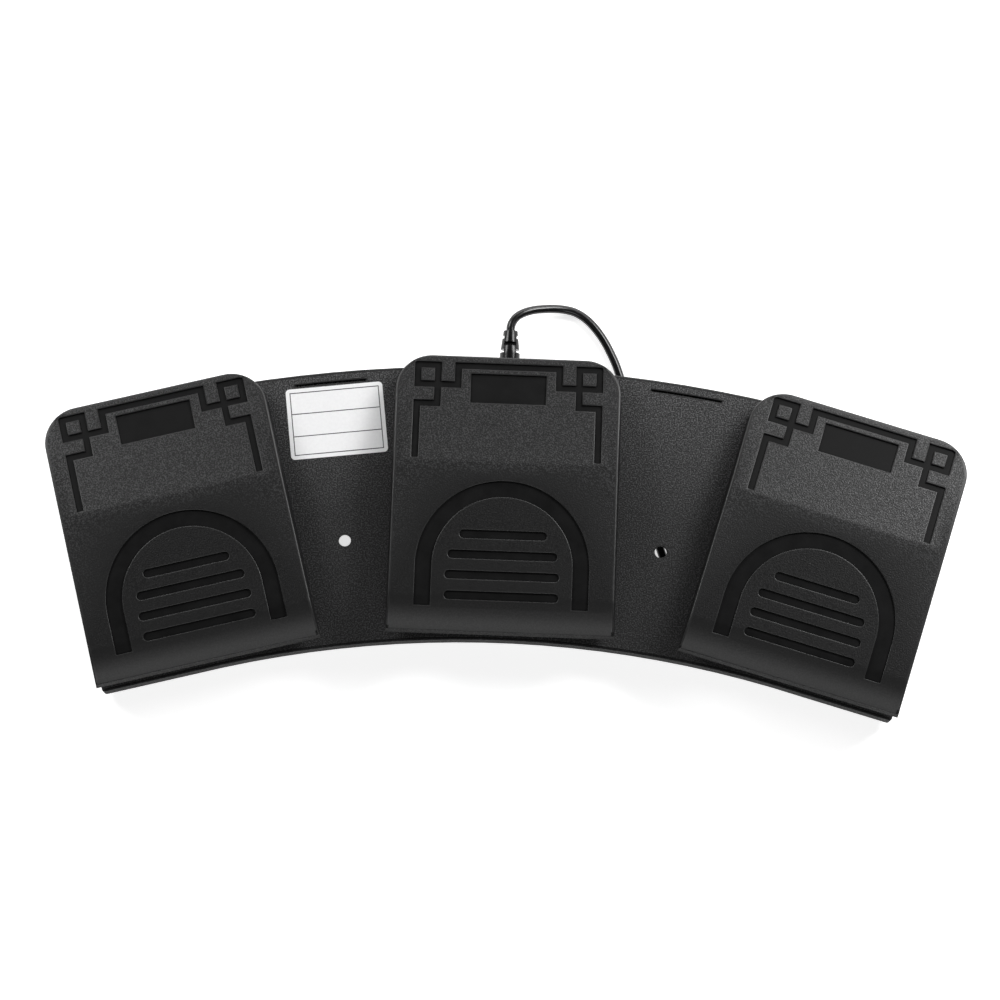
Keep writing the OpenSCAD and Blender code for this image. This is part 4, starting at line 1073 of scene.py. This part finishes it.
class CordPieces(bpy.types.Operator):
    """Makes the cord, its strain relief, tie and plug"""

    bl_idname = "foot_pedal.cord"
    bl_label = "Cord and plug"

    def route(self):
        """The cord's whole centreline, in metres."""
        x, y = COIL_CENTRE
        run = smooth_route(RUN + [(x - CORD_WIDTH, y - COIL_RADIUS, COIL_LOW)], RUN_STEPS)
        coil = []
        middle = COIL_TURNS + 0.25
        for i in range(int(2 * middle * TURN_STEPS) + 1):
            t = i / TURN_STEPS
            a = math.radians(-90 + 360 * t)
            r = COIL_RADIUS - COIL_PITCH * middle + COIL_PITCH * abs(t - middle)
            f = min(max((t - COIL_TURNS) * 2, 0), 1)
            z = COIL_LOW + COIL_PITCH * f * f * (3 - 2 * f)
            coil.append(Vector((x + r * math.cos(a), y + r * math.sin(a), z)))
        end = (x - CORD_WIDTH, y + COIL_RADIUS, COIL_LOW + COIL_PITCH)
        tail = smooth_route([end] + TAIL, ROUTE_STEPS)
        return [p * MM for p in run + coil + tail]

    def execute(self, context):
        points = self.route()
        cord = tube("usb_cord", points, "cord_jacket", CORD_WIDTH / 2,
                    context.scene.pedal_cord.sides)
        finish_piece(cord, "base", "cord", "cord_run", "cord_coil", "cord_tail")
        relief = rounded_piece("strain_relief", "cord_strain_relief", 0.12, "relief_rubber",
                               "base", "relief")
        tie = rounded_piece("cord_tie", "coil_tie", 0.12, "tie_nylon", "base", "tie")
        grip = rounded_piece("plug_grip", "plug_handle", 0.4, "plug_plastic",
                             "base", "plug_plastic")
        dress("plug_shell", "nickel")
        dress("plug_tongue", "plug_white")
        contacts = self.make_contacts()
        length = sum((b - a).length for a, b in zip(points, points[1:]))
        tuple(points[0])
        [tuple(p) for p in points]
        return {"FINISHED"}

    def make_contacts(self):
        """Four contact strips on the plug's tongue."""
        low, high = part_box("plug_tongue")
        strip = Vector(CONTACT) * MM
        pitch = CONTACT_PITCH * MM
        first = (low.y + high.y) / 2 - (CONTACT_COUNT - 1) / 2 * pitch
        start = Vector((low.x + strip.x / 2 + CONTACT_INSET * MM, first,
                        high.z + CONTACT_RISE * MM))
        contacts = grown("plug_contacts", row_tree, "gold", Count=CONTACT_COUNT, Start=start,
                         Step=Vector((0, pitch, 0)), Bar=strip)
        return finish_piece(contacts, "base", "plug_metal")


class Stage(bpy.types.Operator):
    """Sets up the floor, light and camera"""

    bl_idname = "foot_pedal.stage"
    bl_label = "Stage"

    def execute(self, context):
        scene = context.scene
        scene.view_settings.view_transform = "Standard"
        self.make_floor(scene.pedal_stage)
        self.make_world(scene)
        self.make_lamps(scene)
        self.make_camera(scene)
        return {"FINISHED"}

    def make_floor(self, settings):
        count = COVE_SIDES
        turns = [math.tau * i / count for i in range(count)]
        rim = [(COVE_RADIUS * math.cos(a), COVE_RADIUS * math.sin(a)) for a in turns]
        points = [(x, y, z) for z in (0.0, COVE_HEIGHT) for x, y in rim]
        walls = [(i, i + count, (i + 1) % count + count, (i + 1) % count) for i in range(count)]
        mesh = bpy.data.meshes.new("floor")
        mesh.from_pydata(points, [], [tuple(range(count))] + walls)
        floor = new_object("floor", mesh)
        mesh.materials.append(self.floor_paint(settings))

    def floor_paint(self, settings):
        """Pale to the camera and in reflections, and greyer to the light that it throws back."""
        f = Finish("pale_floor")
        seen = f.node("LightPath", out="Is Camera Ray")
        for kind in ("Is Glossy Ray", "Is Transmission Ray"):
            seen = f.node("Math", {0: seen, 1: f.node("LightPath", out=kind)}, operation="MAXIMUM")
        paint, grey = (f.node("BsdfDiffuse", {"Color": (*scaled(settings.floor, share), 1.0)})
                       for share in (1.0, FLOOR_SHARE))
        far = f.distance_from((0.0, 0.0, 0.0))
        glow = f.node("Emission", {"Strength": f.between(far, GLOW_RANGE, settings.glow, 1.0)})
        lit = f.node("AddShader", {0: paint, 1: glow})
        return f.surface(f.node("MixShader", {0: seen, 1: grey, 2: lit}))

    def make_world(self, scene):
        world = bpy.data.worlds.new("studio")
        scene.world = world
        world.use_nodes = True
        tree = world.node_tree
        tree.nodes.clear()
        back = add_node(tree, "ShaderNodeBackground", {"Strength": SKY_LIGHT})
        add_node(tree, "ShaderNodeOutputWorld", {"Surface": back.outputs[0]})

    def make_lamps(self, scene):
        for name, place, size, power in LAMPS:
            data = bpy.data.lights.new(name, "AREA")
            data.shape = "RECTANGLE"
            data.size, data.size_y = size
            data.energy = power
            lamp = bpy.data.objects.new(name, data)
            lamp.location = place
            lamp.visible_camera = False
            lamp.rotation_mode = "QUATERNION"
            lamp.rotation_quaternion = (-Vector(place)).to_track_quat("-Z", "Y")
            scene.collection.objects.link(lamp)

    def make_camera(self, scene):
        settings = scene.pedal_stage
        back = Vector((0.0, -math.cos(settings.elevation), math.sin(settings.elevation)))
        right = Vector((1.0, 0.0, 0.0))
        up = back.cross(right)
        c, s = math.cos(settings.roll), math.sin(settings.roll)
        right, up = right * c + up * s, up * c - right * s
        data = bpy.data.cameras.new("camera")
        data.sensor_width = CAMERA_SENSOR
        data.lens = CAMERA_LENS
        data.shift_x, data.shift_y = CAMERA_SHIFT
        data.dof.use_dof = False
        data.clip_start, data.clip_end = 0.05, 50.0
        camera = bpy.data.objects.new("camera", data)
        place = Matrix((right, up, back)).transposed().to_4x4()
        place.translation = Vector(CAMERA_TARGET) + back * settings.distance
        camera.matrix_world = place
        scene.collection.objects.link(camera)
        scene.camera = camera


class PedalPanel(bpy.types.Panel):
    """Lists the foot pedal's pieces and settings"""

    bl_idname = "VIEW3D_PT_foot_pedal"
    bl_label = "Foot Pedal"
    bl_space_type = "VIEW_3D"
    bl_region_type = "UI"
    bl_category = "Foot Pedal"

    def draw(self, context):
        for operator in OPERATORS:
            self.layout.operator(operator.bl_idname)
        for name, _ in GROUPS:
            settings = getattr(context.scene, name)
            for key in settings.bl_rna.properties.keys():
                if key not in ("rna_type", "name"):
                    self.layout.prop(settings, key)


OPERATORS = (Stage, CordPieces, PedalPieces, BasePiece, Hardware, Electronics)
GROUPS = (("pedal_moulding", MouldingSettings), ("pedal_cord", CordSettings),
          ("pedal_stage", StageSettings))


def register():
    for name, group in GROUPS:
        bpy.utils.register_class(group)
        setattr(bpy.types.Scene, name, bpy.props.PointerProperty(type=group))
    for cls in (*OPERATORS, PedalPanel):
        bpy.utils.register_class(cls)


def unregister():
    for cls in (PedalPanel, *reversed(OPERATORS)):
        bpy.utils.unregister_class(cls)
    for name, group in reversed(GROUPS):
        delattr(bpy.types.Scene, name)
        bpy.utils.unregister_class(group)


def main():
    for unwanted in ("Cube", "Light", "Camera"):
        if unwanted in bpy.data.objects:
            bpy.data.objects.remove(bpy.data.objects[unwanted])
    register()
    bpy.ops.foot_pedal.stage()
    bpy.ops.foot_pedal.cord()
    bpy.ops.foot_pedal.pedals()
    bpy.ops.foot_pedal.base()
    bpy.ops.foot_pedal.hardware()
    bpy.ops.foot_pedal.electronics()


if __name__ == "__main__":
    main()
